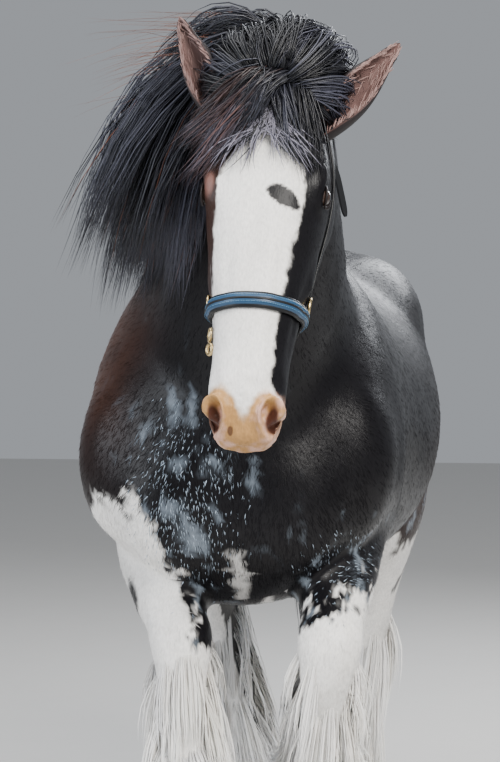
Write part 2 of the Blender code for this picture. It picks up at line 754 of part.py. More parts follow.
def shell_solid(name, outer, inner):
    """A closed solid between two matching grids of points."""
    spans, arc = len(outer), len(outer[0])
    points = [p for row in outer for p in row] + [p for row in inner for p in row]
    half, faces = spans * arc, []
    for i in range(spans - 1):
        for j in range(arc - 1):
            a, b, c, d = i * arc + j, i * arc + j + 1, (i + 1) * arc + j + 1, (i + 1) * arc + j
            faces += [(a, b, c, d), (half + d, half + c, half + b, half + a)]
        for j in (0, arc - 1):
            a, d = i * arc + j, (i + 1) * arc + j
            faces.append((a, d, half + d, half + a))
    for j in range(arc - 1):
        for i in (0, spans - 1):
            a, b = i * arc + j, i * arc + j + 1
            faces.append((a, b, half + b, half + a))
    return object_from(name, points, faces)


# Hooves, halter and stand


def hoof_axes(leg):
    """Where a hoof's top lies, its direction down to the sole and its direction to the toe."""
    last = leg_rings(leg)[-1]
    if leg.startswith("hind"):
        top = Vector((last.centre.x, last.centre.y, PLATE_THICK + GAP + HOOF_HEIGHT))
        return top, Vector((0, 0, -1)), Vector((0, -1, 0))
    down = Vector((0, -0.34, -0.94)) if leg == "fore_right" else Vector((0, 0.62, -0.78))
    down.normalize()
    toe = (last.up_axis - down * last.up_axis.dot(down)).normalized()
    return last.centre + toe * 0.004, down, toe


def hoof(leg):
    """A hoof whose top meets the coronet and whose sole is flat."""
    top, down, toe = hoof_axes(leg)
    side, made = toe.cross(down).normalized(), []
    for depth, grow in ((0, 0), (0.12, 0.08), (0.9, 0.94), (1.0, 0.98)):
        size = HOOF_TOP + (HOOF_SOLE - HOOF_TOP) * grow
        centre = top + down * (depth * HOOF_HEIGHT) + toe * (depth * HOOF_SLOPE)
        made.append(Ring(centre, toe, side, size * 0.98, size * 1.04, size * 0.86, 2.25))
    return loft(leg + "_hoof", made, 18, 1)


def ribbon(name, centres, normals, width, thick, tree, closed=False):
    """A strap along a path, its underside draped just off a surface; a closed one has a round back."""
    section = ((-1, 0.0), (-0.9, 1.0), (0.9, 1.0), (1, 0.0))
    if closed:
        section = ((-1, 0.0), (-1, 0.6), (-0.6, 1.0), (0.6, 1.0), (1, 0.6), (1, 0.0))
    count, sides, points, faces = len(centres), len(section), [], []
    for i, (centre, normal) in enumerate(zip(centres, normals)):
        after = centres[(i + 1) % count] if closed or i < count - 1 else centre
        before = centres[i - 1] if closed or i > 0 else centre
        run = (after - before).normalized()
        out = (normal - run * normal.dot(run)).normalized()
        across = run.cross(out)
        for aside, rise in section:
            edge = centre + across * (math.copysign(width / 2, aside))
            near, slope, _, _ = tree.find_nearest(edge)
            low = near + slope * STRAP_LIFT
            points.append(low + across * ((abs(aside) - 1) * math.copysign(width / 2, aside)) + out * (rise * thick))
    for i in range(count if closed else count - 1):
        k = (i + 1) % count
        for j in range(sides):
            m = (j + 1) % sides
            faces.append((i * sides + j, i * sides + m, k * sides + m, k * sides + j))
    if not closed:
        faces += [tuple(range(sides)), tuple((count - 1) * sides + j for j in range(sides))]
    return object_from(name, points, faces)


def laid(tree, aims, lift):
    """Points and normals where lines from the head's middle leave the surface at the aims."""
    centres, normals = [], []
    for start, aim in aims:
        way = (aim - start).normalized()
        hit, normal, _, _ = tree.ray_cast(start + way * 0.6, -way)
        if hit is None:
            hit, normal = aim, way
        centres.append(hit + way * lift)
        normals.append(way.lerp(normal, 0.5).normalized())
    return centres, normals


def noseband(tree):
    """A padded band right round the nose."""
    aims = []
    for angle in np.radians(np.arange(0, 360, 15)):
        a = NOSEBAND_PLACE + NOSEBAND_TILT * math.sin(angle)
        aims.append((on_head((a, 0, -0.085)), on_head((a, math.cos(angle), -0.085 + math.sin(angle)))))
    return ribbon("halter_noseband", *laid(tree, aims, 0.002), NOSEBAND_WIDTH, NOSEBAND_THICK, tree, True)


def head_path(tree, places, steps, lift):
    """A path over the head's surface near the given places of its own frame."""
    aims = []
    for row in through(places, steps):
        aims.append((on_head((row[0], 0, -0.09)), on_head((row[0], row[1] * 1.5, -0.09 + (row[2] + 0.09) * 1.5))))
    return laid(tree, aims, lift)


def halter(head, body):
    """The halter: noseband, cheek straps, crown and chin strap."""
    tree = tree_of([head])
    pieces = {"halter_noseband": noseband(tree)}
    for name, hand in SIDES.items():
        cheek = [(0.465, 0.095, -0.10), (0.36, 0.115, -0.11), (0.20, 0.12, -0.095), (0.075, 0.115, -0.055)]
        path = head_path(tree, [(a, s * hand, u) for a, s, u in cheek], 3, 0.002)
        pieces["halter_cheek_" + name] = ribbon("strap", *path, STRAP_WIDTH, STRAP_THICK, tree)
    crown = [(0.085, 0.115, -0.06), (0.035, 0.10, -0.02), (-0.005, 0.06, 0.03), (-0.012, 0.0, 0.05)]
    crown += [(a, -s, u) for a, s, u in reversed(crown[:-1])]
    both = tree_of([head, body])
    path = head_path(both, crown, 3, 0.002)
    pieces["halter_crown"] = ribbon("strap", *path, STRAP_WIDTH, STRAP_THICK, both)
    chin = [(0.472, 0.085, -0.11), (0.490, 0.07, -0.17), (0.50, 0.0, -0.20)]
    chin += [(a, -s, u) for a, s, u in reversed(chin[:-1])]
    path = head_path(tree, chin, 3, 0.002)
    pieces["halter_chin"] = ribbon("strap", *path, STRAP_WIDTH * 0.8, STRAP_THICK, tree)
    return pieces


def stand(body):
    """The plate, and two rods that rise to the belly."""
    plate = slab((-PLATE_WIDTH / 2, -PLATE_LENGTH / 2, 0), (PLATE_WIDTH / 2, PLATE_LENGTH / 2, PLATE_THICK))
    edge = plate.modifiers.new("edge", "BEVEL")
    edge.width = PLATE_BEVEL
    edge.segments = 2
    pieces = {"stand_plate": plate}
    for name, (x, y) in ROD_PLACES.items():
        low = PLATE_THICK + GAP
        rod = cylinder((x, y, low), FLANGE_RADIUS, FLANGE_HEIGHT, 20)
        boolean(rod, [cylinder((x, y, low + FLANGE_HEIGHT / 2), ROD_RADIUS, 1.1, 12)], "UNION")
        pieces["stand_rod_" + name] = clear_of(rod, [body])
    return pieces


# Hair in locks


def curve(ends, count):
    """Points along the cubic curve of a root, two guides and a tip."""
    root, first, second, tip = (Vector(place) for place in ends)
    points = []
    for t in np.linspace(0, 1, count):
        near = root * (1 - t) ** 3 + first * (3 * t * (1 - t) ** 2)
        points.append(near + second * (3 * t**2 * (1 - t)) + tip * t**3)
    return points


def lifted(points, trees, room, rooted=1):
    """The path with every point past its root kept that far outside the surfaces."""
    kept = list(points[:rooted])
    for point in points[rooted:]:
        for tree in trees:
            near, normal, _, _ = tree.find_nearest(point)
            if (point - near).dot(normal) < room:
                point = near + normal * room
        kept.append(point)
    return kept


def lock(path, flat, size):
    """A flat lock that swells from its root and tapers to a tip; its flat side faces one way."""
    wide, thick = size
    points, faces, last = [], [], len(path) - 1
    for i in range(last):
        t = i / last
        run = (path[i + 1] - path[max(i - 1, 0)]).normalized()
        out = (flat - run * flat.dot(run)).normalized()
        side = run.cross(out)
        full = 0.5 + 0.5 * math.sin(math.pi / 2 * min(t * 1.7, 1)) if t < 0.7 else (1 - t) / 0.3
        across, deep = side * (wide * full / 2), out * (thick * (0.5 + full / 2) / 2)
        points += [path[i] + across, path[i] + deep, path[i] - across, path[i] - deep]
    points.append(path[last])
    for i in range(last - 1):
        for j in range(4):
            k = (j + 1) % 4
            faces.append((i * 4 + j, i * 4 + k, i * 4 + 4 + k, i * 4 + 4 + j))
    faces += [(last * 4 - 4 + j, last * 4 - 4 + (j + 1) % 4, last * 4) for j in range(4)]
    faces.append((0, 1, 2, 3))
    return object_from("lock", points, faces)


def crest_line(count):
    """Points along the top of the neck, from the withers to the poll."""
    rings = between(neck_rings()[1:], 6)
    tops = [ring.centre + ring.up_axis * ring.up for ring in rings]
    return [tops[int(i)] for i in np.linspace(0, len(tops) - 1, count)]


def mane(tree):
    """Locks from the crest, blown up and over to the right, with some that fall down the neck."""
    rng = np.random.default_rng(31)
    line = crest_line(13)
    core = []
    for i, place in enumerate(lifted(line, [tree], MANE_CORE + 0.0012, 0)):
        run = line[min(i + 1, 12)] - line[max(i - 1, 0)]
        up = (Vector((0, 0, 1)) - run * (run.z / run.length_squared)).normalized()
        size = MANE_CORE * (0.5 if i == 0 else 1 + 0.5 * (i > 10))
        core.append(Ring(place, up, up.cross(run).normalized(), size, size, size))
    roots = [ring.centre for ring in core]
    sweeps = {
        "blown": ((-0.10, 0.13), (-0.34, 0.04), (-0.43, -0.33)),
        "slanting": ((-0.09, 0.09), (-0.31, -0.06), (-0.36, -0.47)),
        "falling": ((-0.07, 0.04), (-0.21, -0.14), (-0.23, -0.47)),
    }
    kinds, made = list(sweeps), []
    for i in range(MANE_LOCKS):
        t = min(max((i + rng.uniform(-0.4, 0.4)) / (MANE_LOCKS - 1), 0.0), 1.0)
        place = t * 12
        root = roots[int(place)].lerp(roots[min(int(place) + 1, 12)], place - int(place))
        reach = (0.60 + 0.42 * math.sin(math.pi * min(t, 0.9) / 1.8)) * rng.uniform(0.84, 1.1)
        drift = rng.uniform(-0.05, 0.13)
        ends = [root]
        for step, (aside, rise) in enumerate(sweeps[kinds[i % 3]]):
            along = drift * (step + 1) / 3 + rng.normal(0, 0.012)
            ends.append(root + Vector((aside * reach, along, rise * reach + rng.normal(0, 0.012))))
        size = LOCK_SIZES["broad" if i % 2 else "middle"]
        path = lifted(curve(ends, 6), [tree], size[1] * 0.8)
        flat = Vector((rng.normal(-0.35, 0.3), rng.normal(-0.5, 0.5), 1.0))
        made.append(lock(path, flat, size))
    for i in range(TOP_LOCKS):
        root = roots[12].lerp(roots[10], i / TOP_LOCKS)
        aside = 0.13 - 0.40 * ((i * 3) % TOP_LOCKS) / TOP_LOCKS
        rise = 0.12 - 0.03 * (i % 3) + rng.uniform(-0.01, 0.01)
        ends = [root, root + Vector((aside * 0.2, -0.02, rise)), root + Vector((aside * 0.8, -0.02, rise))]
        ends.append(root + Vector((aside, 0.02, rng.uniform(-0.03, 0.03))))
        path = lifted(curve(ends, 6), [tree], 0.011)
        made.append(lock(path, Vector((aside * 3, rng.normal(0, 0.3), 0.6)), LOCK_SIZES["broad"]))
    return thinned(boolean(loft("mane", core, 6, 1), made, "UNION"), MANE_FACES)


def forelock(tree):
    """Locks from the poll, swept over the forehead and mostly to the right."""
    rng = np.random.default_rng(17)
    _, side, up = head_axes()
    places = [(0.022, -0.045, 0.055), (0.020, 0.0, 0.062), (0.024, 0.05, 0.055)]
    core = lifted([on_head(place) for place in places], [tree], FORELOCK_CORE + 0.0012, 0)
    rings = [Ring(c, up, up.cross(side), FORELOCK_CORE * 1.6, FORELOCK_CORE * 1.5, FORELOCK_CORE) for c in core]
    made = []
    for i in range(FORELOCK_LOCKS):
        t = (i + rng.uniform(0, 1)) / FORELOCK_LOCKS
        root = core[0].lerp(core[2], 0.35 + 0.5 * t)
        aim = -0.160 + 0.27 * t**1.2 + rng.normal(0, 0.025)
        reach = rng.uniform(0.75, 1.1)
        rise = 0.16 - 0.030 * (i % 3) + rng.uniform(-0.01, 0.01)
        ends = [root, on_head((0.0, 0.3 * aim, rise)), on_head((0.10 * reach, 0.95 * aim, rise))]
        ends.append(on_head((0.205 * reach, aim, 0.070)))
        size = LOCK_SIZES["broad" if i % 2 else "middle"]
        path = lifted(curve(ends, 6), [tree], size[1] * 0.9)
        made.append(lock(path, up + side * rng.normal(0, 0.35), size))
    return thinned(boolean(loft("forelock", rings, 6, 1), made, "UNION"), FORELOCK_FACES)


# The tail's middle line and how far its hair stands off it
TAIL_ROUTE = [
    ((0.0, 0.80, 1.60), 0.030),
    ((0.0, 0.90, 1.625), 0.040),
    ((0.0, 1.00, 1.60), 0.055),
    ((0.0, 1.09, 1.50), 0.078),
    ((0.0, 1.14, 1.34), 0.095),
    ((0.0, 1.15, 1.14), 0.100),
    ((0.0, 1.13, 0.92), 0.085),
    ((0.0, 1.10, 0.72), 0.060),
    ((0.0, 1.09, 0.56), 0.030),
]


def tail_ring(route, place, size):
    """A ring across the tail's middle line at a place along it."""
    i = min(int(place), len(route) - 2)
    run = Vector(route[i + 1][:3]) - Vector(route[i][:3])
    centre = Vector(route[i][:3]) + run * (place - i)
    side = Vector((1, 0, 0))
    return Ring(centre, side.cross(run).normalized(), side, size, size, size)


def tail(tree):
    """Locks from all round the dock, falling to a point."""
    rng = np.random.default_rng(5)
    route = through([[*place, size] for place, size in TAIL_ROUTE], 4)
    dock = [tail_ring(route, i * 2, max(0.046 - 0.004 * i, 0.012)) for i in range(9)]
    made = []
    for i in range(TAIL_LOCKS):
        start = 3.0 + 11.5 * ((i * 7) % TAIL_LOCKS) / TAIL_LOCKS
        stop = rng.uniform(26, 32) if start > 6 else rng.uniform(18, 27)
        angle = 2.4 * i + rng.normal(0, 0.2)
        turn, out, path = rng.normal(0, 0.35), rng.uniform(0.7, 1.25), []
        for step in range(6):
            t = step / 5
            place = start + (stop - start) * t
            i_low = min(int(place), len(route) - 2)
            full = route[i_low][3] + (route[i_low + 1][3] - route[i_low][3]) * (place - i_low)
            ring = tail_ring(route, place, full)
            here = angle + turn * t
            way = ring.side_axis * math.cos(here) + ring.up_axis * math.sin(here)
            path.append(ring.centre + way * (full * out * min(0.25 + 2.4 * t, 1) * (1 - 0.35 * t)))
        flat = ring.side_axis * math.cos(angle) + Vector((0, 1, 0)) * math.sin(angle)
        size = LOCK_SIZES["long" if i % 2 else "broad"]
        made.append(lock(lifted(path, [tree], size[1] * 0.8), flat, size))
    return thinned(boolean(loft("tail", dock, 8, 1), made, "UNION"), TAIL_FACES)


def feather_route(leg):
    """Rings down a cannon and pastern and on over the hoof, for hair to follow."""
    rings = leg_rings(leg)[-22:]
    top, down, toe = hoof_axes(leg)
    side = rings[-1].side_axis
    for depth in (0.25, 0.5, 0.75, 1.0):
        size = HOOF_TOP + (HOOF_SOLE - HOOF_TOP) * depth
        centre = top + down * (depth * HOOF_HEIGHT) + toe * (depth * HOOF_SLOPE)
        rings.append(Ring(centre, toe, side, size * 0.98, size * 1.04, size * 0.86))
    return rings


def feather_lock(rings, angle, start, stop, stand):
    """The path of one lock down a leg, at one angle round it, standing off more and more."""
    path, spans = [], 4
    for step in range(spans + 1):
        t = step / spans
        place = min(start + (stop - start) * t, len(rings) - 1.01)
        ring, after = rings[int(place)], rings[int(place) + 1]
        middle = ring.centre.lerp(after.centre, place - int(place))
        deep = ring.up if math.cos(angle) > 0 else ring.down
        way = ring.side_axis * (math.sin(angle) * ring.wide) + ring.up_axis * (math.cos(angle) * deep)
        path.append(middle + way * (0.70 + 0.30 * min(2.5 * t, 1)) + way.normalized() * (stand * math.sin(2.3 * t)))
    return path


def feather(leg, trees):
    """Locks in two tiers round the fetlock and pastern, and some from the back of the cannon."""
    rng = np.random.default_rng(sum(ord(letter) for letter in leg))
    rings, made = feather_route(leg), []
    last = len(rings) - 1
    for tier, count in FEATHER_LOCKS.items():
        for i in range(count):
            turn = 360 * (i + (0.5 if tier == "low" else 0.0)) / count + rng.normal(0, 5)
            if tier == "cannon":
                turn = 180 + (i - (count - 1) / 2) * 40 + rng.normal(0, 4)
            angle = math.radians(turn)
            back = 0.5 - 0.5 * math.cos(angle)
            start = {"low": 15.0, "high": 12.0, "cannon": 8.6 + 1.2 * (i % 2)}[tier] - 2.2 * back
            stop = {"low": last - 1.9, "high": last - 3.2, "cannon": 16.0}[tier] + 1.3 * back
            stand = {"low": 0.026, "high": 0.032, "cannon": 0.040}[tier] + 0.028 * back
            path = feather_lock(rings, angle, start, stop + rng.uniform(-0.5, 0.5), stand)
            path[-1].z = max(path[-1].z, PLATE_THICK + 0.012)
            ring = rings[int(start)]
            flat = ring.side_axis * math.sin(angle) + ring.up_axis * math.cos(angle)
            size = LOCK_SIZES["middle" if tier == "cannon" else "feather"]
            made.append(lock(lifted(path, trees, 0.013), flat, size))
    return made


def limbs_with_feather(limbs, hooves):
    """Adds the feather to each fetlock, clear of the hoof and of the cannon above it."""
    for leg in LEGS:
        cannon, fetlock = limbs[leg + "_cannon"], limbs[leg + "_fetlock"]
        clear_of(fetlock, [hooves[leg]])
        boolean(fetlock, feather(leg, [tree_of([hooves[leg]])]), "UNION")
        clear_of(thinned(fetlock, FETLOCK_FACES), [hooves[leg], cannon])


def main():
    """Builds every node."""
    for thing in list(bpy.data.objects):
        bpy.data.objects.remove(thing)
    black = material("coat_black", COAT_BLACK, 0.45)
    white = material("coat_white", COAT_WHITE, 0.7)
    face = material("face_white", FACE_WHITE, 0.6)
    hair = material("hair_black", HAIR_BLACK, 0.5)
    horn = material("hoof_horn", HORN, 0.5)
    blue = material("strap_blue", STRAP_BLUE, 0.5)
    dark = material("strap_black", STRAP_BLACK, 0.5)
    body, head = build_flesh()
    whole, face_form = copy_of(body, "whole"), copy_of(head, "face_form")

    hooves = {leg: hoof(leg) for leg in LEGS}
    for name, piece in stand(whole).items():
        finish(piece, name, material("stand_grey", STAND_GREY, 0.4, 0.6), 30)
    limbs = limb_nodes(body)
    limbs_with_feather(limbs, hooves)
    for leg in LEGS:
        finish(limbs[leg + "_fetlock"], leg + "_fetlock", white)
        finish(limbs[leg + "_cannon"], leg + "_cannon", white)
        finish(limbs[leg + "_leg"], leg + "_leg", white if leg.startswith("fore") else black)
        finish(hooves[leg], leg + "_hoof", horn)

    front = part_off(body, "front", neck_cutter())
    cutter = head_cutter()
    boolean(head, [swollen(cutter, -GAP * SHARE)], "INTERSECT")
    neck = boolean(front, [swollen(cutter, GAP * SHARE)], "DIFFERENCE")
    bpy.data.objects.remove(cutter)
    open_face(head)
    finish(body, "torso", black)
    finish(neck, "neck", black)
    finish(head, "head", face)
    for name, hand in SIDES.items():
        centre = on_head((EYE_PLACE[0], EYE_PLACE[1] * hand, EYE_PLACE[2]))
        eye = blob("eye", centre, [EYE_RADIUS] * 3, segments=12)
        finish(eye, "eye_" + name, material("eye_brown", EYE_BROWN, 0.05))
    ears = {
        "right": ear(-1, (0.060, -0.092, -0.012), Vector((-0.50, 0.05, 1.0)), Vector((-0.35, -1, 0.1))),
        "left": ear(1, (0.070, 0.098, -0.020), Vector((0.88, 0.10, 0.92)), Vector((0.35, -1, 0.1))),
    }
    for name, piece in ears.items():
        finish(clear_of(piece, [face_form, whole]), "ear_" + name, hair)
    straps = halter(face_form, whole)
    laid_down = [face_form, whole, *ears.values()]
    for name, piece in straps.items():
        clear_of(piece, laid_down)
        laid_down.append(piece)
        finish(piece, name, blue if name == "halter_noseband" else dark)
    tail_hair = clear_of(tail(tree_of([whole])), [whole])
    finish(tail_hair, "tail", hair)
    trims = [*ears.values(), *straps.values()]
    around = tree_of([face_form, whole, *trims])
    mane_hair = clear_of(mane(around), [face_form, whole, *trims])
    finish(mane_hair, "mane", hair)
    forelock_hair = clear_of(clear_of(forelock(around), [mane_hair], 0.003), [face_form, whole, *trims])
    finish(forelock_hair, "forelock", hair)
    for thing in (whole, face_form):
        bpy.data.objects.remove(thing)


main()
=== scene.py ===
"""A life-size Clydesdale horse at a canter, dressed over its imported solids, on a museum stand.

The horse faces -Y, its left is +X and up is +Z, in metres. One skin covers the flesh, thin solid
locks make the mane, forelock, tail, feather and short coat, and skin and hair take their colours
from the same markings.
"""

import logging
import math
from dataclasses import dataclass, field
from enum import Enum
from typing import NamedTuple, Sequence

import bmesh
import bpy
import numpy as np
from mathutils import Matrix, Vector
from mathutils.bvhtree import BVHTree


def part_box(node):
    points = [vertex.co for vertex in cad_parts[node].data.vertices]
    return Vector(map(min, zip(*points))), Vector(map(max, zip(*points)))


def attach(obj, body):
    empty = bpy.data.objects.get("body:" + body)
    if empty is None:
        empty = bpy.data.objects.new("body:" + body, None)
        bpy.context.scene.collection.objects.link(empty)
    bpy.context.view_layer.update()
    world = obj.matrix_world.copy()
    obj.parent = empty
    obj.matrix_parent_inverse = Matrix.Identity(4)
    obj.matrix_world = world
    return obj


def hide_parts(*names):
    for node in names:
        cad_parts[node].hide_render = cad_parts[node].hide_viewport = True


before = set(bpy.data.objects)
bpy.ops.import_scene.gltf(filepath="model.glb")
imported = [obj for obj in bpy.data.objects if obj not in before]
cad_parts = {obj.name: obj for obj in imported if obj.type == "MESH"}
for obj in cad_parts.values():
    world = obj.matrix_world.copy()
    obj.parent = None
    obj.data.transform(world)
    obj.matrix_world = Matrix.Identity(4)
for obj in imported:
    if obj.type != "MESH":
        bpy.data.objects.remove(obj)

LOG = logging.getLogger("horse")
Points = np.ndarray
Thing = bpy.types.Object
Route = tuple[list[Vector], list[Vector]]

POLL = Vector((0.15, -1.27, 2.03))
HEAD_PITCH = math.radians(31)
HEAD_ROLL = math.radians(-2.0)
PLATE_TOP = 0.03
LEG_NAMES = ("fore_right", "fore_left", "hind_right", "hind_left")


class Side(Enum):
    """The horse's own sides, with their direction along X."""

    RIGHT = -1
    LEFT = 1

    @property
    def label(self) -> str:
        """The side's name in the solids' names."""
        return self.name.lower()


class Tint(NamedTuple):
    """A colour in linear light."""

    red: float
    green: float
    blue: float

    def rgba(self) -> tuple[float, float, float, float]:
        """The colour with full cover."""
        return (self.red, self.green, self.blue, 1.0)


BLACK_COAT = Tint(0.0056, 0.0052, 0.0064)
BROWN_COAT = Tint(0.06, 0.024, 0.014)
WHITE_COAT = Tint(0.86, 0.84, 0.81)
BLUE_ROAN = Tint(0.3, 0.36, 0.43)
MUZZLE_PINK = Tint(0.6, 0.36, 0.27)
MUZZLE_TAN = Tint(0.42, 0.23, 0.085)
NOSTRIL_BROWN = Tint(0.06, 0.022, 0.014)
LID_BROWN = Tint(0.17, 0.085, 0.07)
BLACK_HAIR = Tint(0.01, 0.0105, 0.014)
# Blue-grey painted sheen: mixed into the black mane, forelock and tail hair to stand in for light glancing
# off it.
PAINTED_SHEEN_HAIR = Tint(0.085, 0.088, 0.125)
RUST_HAIR = Tint(0.15, 0.055, 0.03)
CREAM_HAIR = Tint(0.89, 0.87, 0.84)
WISP_HAIR = Tint(0.24, 0.23, 0.29)
EYE_RIM = Tint(0.03, 0.018, 0.014)
IRIS_BROWN = Tint(0.026, 0.011, 0.006)
LID_EDGE = Tint(0.012, 0.009, 0.009)
EAR_BACK = Tint(0.016, 0.012, 0.013)
EAR_INSIDE = Tint(0.155, 0.088, 0.08)
EAR_HAIR = Tint(0.27, 0.17, 0.155)
EAR_RIM_HAIR = Tint(0.02, 0.015, 0.016)


# Numbers


def blend_to(low: float, high: float, values: Points) -> Points:
    """A smooth step.

    Args:
        low: Where it leaves 0.
        high: Where it reaches 1.
        values: The places to read it at.

    Returns:
        Values from 0 to 1.
    """
    t = np.clip((values - low) / (high - low), 0.0, 1.0)
    return t * t * (3 - 2 * t)


def lattice_noise(points: Points, scale: float, seed: int) -> Points:
    """Smooth noise in space.

    Args:
        points: Rows of x, y, z.
        scale: The size of its features in metres.
        seed: Which pattern.

    Returns:
        Values from -1 to 1.
    """
    spots = points / scale + seed * 17.31
    cell = np.floor(spots).astype(np.int64)
    inside = spots - cell
    ease = inside * inside * (3 - 2 * inside)
    total = np.zeros(len(points))
    for corner in range(8):
        step = np.array([corner & 1, corner >> 1 & 1, corner >> 2 & 1])
        key = cell + step
        mixed = key[:, 0] * 374761393 + key[:, 1] * 668265263 + key[:, 2] * 2147483647 + seed * 974711
        mixed = (mixed ^ (mixed >> 13)) * 1274126177
        mixed = (mixed ^ (mixed >> 16)) & 0xFFFF
        weight = np.prod(np.where(step, ease, 1 - ease), axis=1)
        total += weight * (mixed / 32767.5 - 1)
    return total


def layered_noise(points: Points, scale: float, seed: int, layers: int = 3) -> Points:
    """Noise with finer noise on it.

    Args:
        points: Rows of x, y, z.
        scale: The size of the largest features.
        seed: Which pattern.
        layers: How many sizes.

    Returns:
        Values from about -1 to 1.
    """
    total = np.zeros(len(points))
    for layer in range(layers):
        total += lattice_noise(points, scale / 2.1**layer, seed + layer) / 1.8**layer
    return total


def through(values: Sequence[Sequence[float]], steps: int) -> Points:
    """Values between the given ones, on a Catmull-Rom curve.

    Args:
        values: The rows to pass through.
        steps: How many spans in each stretch.

    Returns:
        The finer rows.
    """
    points = np.asarray(values, float)
    padded = np.vstack([2 * points[0] - points[1], points, 2 * points[-1] - points[-2]])
    rows = []
    for i in range(1, len(padded) - 2):
        a, b, c, d = padded[i - 1 : i + 3]
        for t in np.arange(steps) / steps:
            bend = 2 * a - 5 * b + 4 * c - d
            twist = 3 * b - a - 3 * c + d
            rows.append(0.5 * (2 * b + (c - a) * t + bend * t**2 + twist * t**3))
    rows.append(points[-1])
    return np.array(rows)


def head_axes() -> tuple[Vector, Vector, Vector]:
    """The head's directions.

    Returns:
        Along to the muzzle, out to its left, and up out of its face.
    """
    along = Vector((0, -math.sin(HEAD_PITCH), -math.cos(HEAD_PITCH)))
    up = Vector((0, -math.cos(HEAD_PITCH), math.sin(HEAD_PITCH)))
    roll = Matrix.Rotation(HEAD_ROLL, 3, up)
    return roll @ along, roll @ Vector((1, 0, 0)), up


def on_head(place: Sequence[float]) -> Vector:
    """The world point of a place on the head.

    Args:
        place: Along the head, to its left and out of its face.

    Returns:
        The point.
    """
    along, side, up = head_axes()
    return POLL + along * place[0] + side * place[1] + up * place[2]


def head_places(points: Points) -> tuple[Points, Points, Points]:
    """World points in the head's own frame: along it, to its left and out of its face."""
    return tuple((points - np.array(POLL)) @ np.array(axis) for axis in head_axes())


def near_head(along: Points, side: Points, up: Points, start: float = 0.0, end: float = 0.82) -> Points:
    """Which places lie on the head, between two distances from the poll."""
    return (along > start) & (along < end) & (np.abs(side) < 0.18) & (up > -0.34) & (up < 0.2)


def bump(*terms: tuple[Points, float, float]) -> Points:
    """A rounded hill, highest where each term's value is its middle, fading over its width."""
    return np.exp(-sum(((value - middle) / width) ** 2 for value, middle, width in terms))


def mixed(base: Points, tint: Tint, share: Points) -> Points:
    """Rows of colours, each moved towards a tint by its share."""
    return base + (np.array(tint) - base) * share[:, None]


# Meshes


def new_object(name: str, points: Points, faces: Points | list) -> Thing:
    """A mesh object in the scene.

    Args:
        name: Its name.
        points: Its vertices.
        faces: Its faces.

    Returns:
        The object.
    """
    mesh = bpy.data.meshes.new(name)
    corners = faces.tolist() if isinstance(faces, np.ndarray) else faces
    mesh.from_pydata(np.asarray(points).tolist(), [], corners)
    return link(name, mesh)


def face_outwards(thing: Thing) -> Thing:
    """Turns the faces of a closed mesh outwards.

    Args:
        thing: The object.

    Returns:
        The same object.
    """
    shape = bmesh.new()
    shape.from_mesh(thing.data)
    bmesh.ops.recalc_face_normals(shape, faces=shape.faces)
    shape.to_mesh(thing.data)
    shape.free()
    return thing


def pick(thing: Thing) -> Thing:
    """Makes one object the only one selected, and the active one.

    Args:
        thing: The object.

    Returns:
        The same object.
    """
    bpy.ops.object.select_all(action="DESELECT")
    thing.select_set(True)
    bpy.context.view_layer.objects.active = thing
    return thing


def apply_modifiers(thing: Thing) -> Thing:
    """Makes what an object's modifiers do part of its mesh.

    Args:
        thing: The object.

    Returns:
        The same object.
    """
    pick(thing)
    for modifier in list(thing.modifiers):
        bpy.ops.object.modifier_apply(modifier=modifier.name)
    return thing


def join(things: Sequence[Thing], name: str) -> Thing:
    """Joins objects into one.

    Args:
        things: The objects.
        name: The new object's name.

    Returns:
        The joined object.
    """
    pick(things[0])
    for thing in things:
        thing.select_set(True)
    bpy.ops.object.join()
    things[0].name = name
    things[0].data.name = name
    return things[0]


def bake_place(thing: Thing) -> Thing:
    """Moves an object's place, turn and scale into its mesh.

    Args:
        thing: The object.

    Returns:
        The same object.
    """
    pick(thing)
    bpy.ops.object.transform_apply(location=True, rotation=True, scale=True)
    return thing


def rows_of(items: bpy.types.bpy_prop_collection, key: str) -> Points:
    """One vector of each vertex or face.

    Args:
        items: The mesh's vertices or faces.
        key: Which of their vectors.

    Returns:
        Rows of x, y, z.
    """
    rows = np.empty(len(items) * 3)
    items.foreach_get(key, rows)
    return rows.reshape(-1, 3)


def points_of(thing: Thing) -> Points:
    """The vertices of an object as rows."""
    return rows_of(thing.data.vertices, "co")


def link(name: str, data: bpy.types.ID) -> Thing:
    """A new object in the scene that holds a mesh, a light or a camera.

    Args:
        name: The object's name.
        data: The mesh, light or camera.

    Returns:
        The object.
    """
    made = bpy.data.objects.new(name, data)
    bpy.context.scene.collection.objects.link(made)
    return made


def tube_faces(count: int, sides: int, closed: bool = False) -> list[tuple[int, ...]]:
    """The faces of a tube whose points are listed ring by ring.

    Args:
        count: How many rings it has.
        sides: How many points each ring has.
        closed: Whether the tube runs right round, without ends.

    Returns:
        The faces.
    """
    faces: list[tuple[int, ...]] = []
    for i in range(count if closed else count - 1):
        k = (i + 1) % count
        for j in range(sides):
            m = (j + 1) % sides
            faces.append((i * sides + j, i * sides + m, k * sides + m, k * sides + j))
    if not closed:
        faces += [tuple(range(sides)), tuple((count - 1) * sides + j for j in range(sides))]
    return faces


def tree_of(thing: Thing) -> BVHTree:
    """A search tree over an object's surface."""
    return BVHTree.FromPolygons(points_of(thing).tolist(), [tuple(p.vertices) for p in thing.data.polygons])


def colour_points(thing: Thing, colours: Points) -> None:
    """Gives an object's vertices their colours, as the attribute that the finishes read.

    Args:
        thing: The object.
        colours: Rows of red, green and blue.
    """
    layer = thing.data.color_attributes.new("tint", "FLOAT_COLOR", "POINT")
    rows = np.ones((len(colours), 4))
    rows[:, :3] = colours
    layer.data.foreach_set("color", rows.ravel())


# Finishes


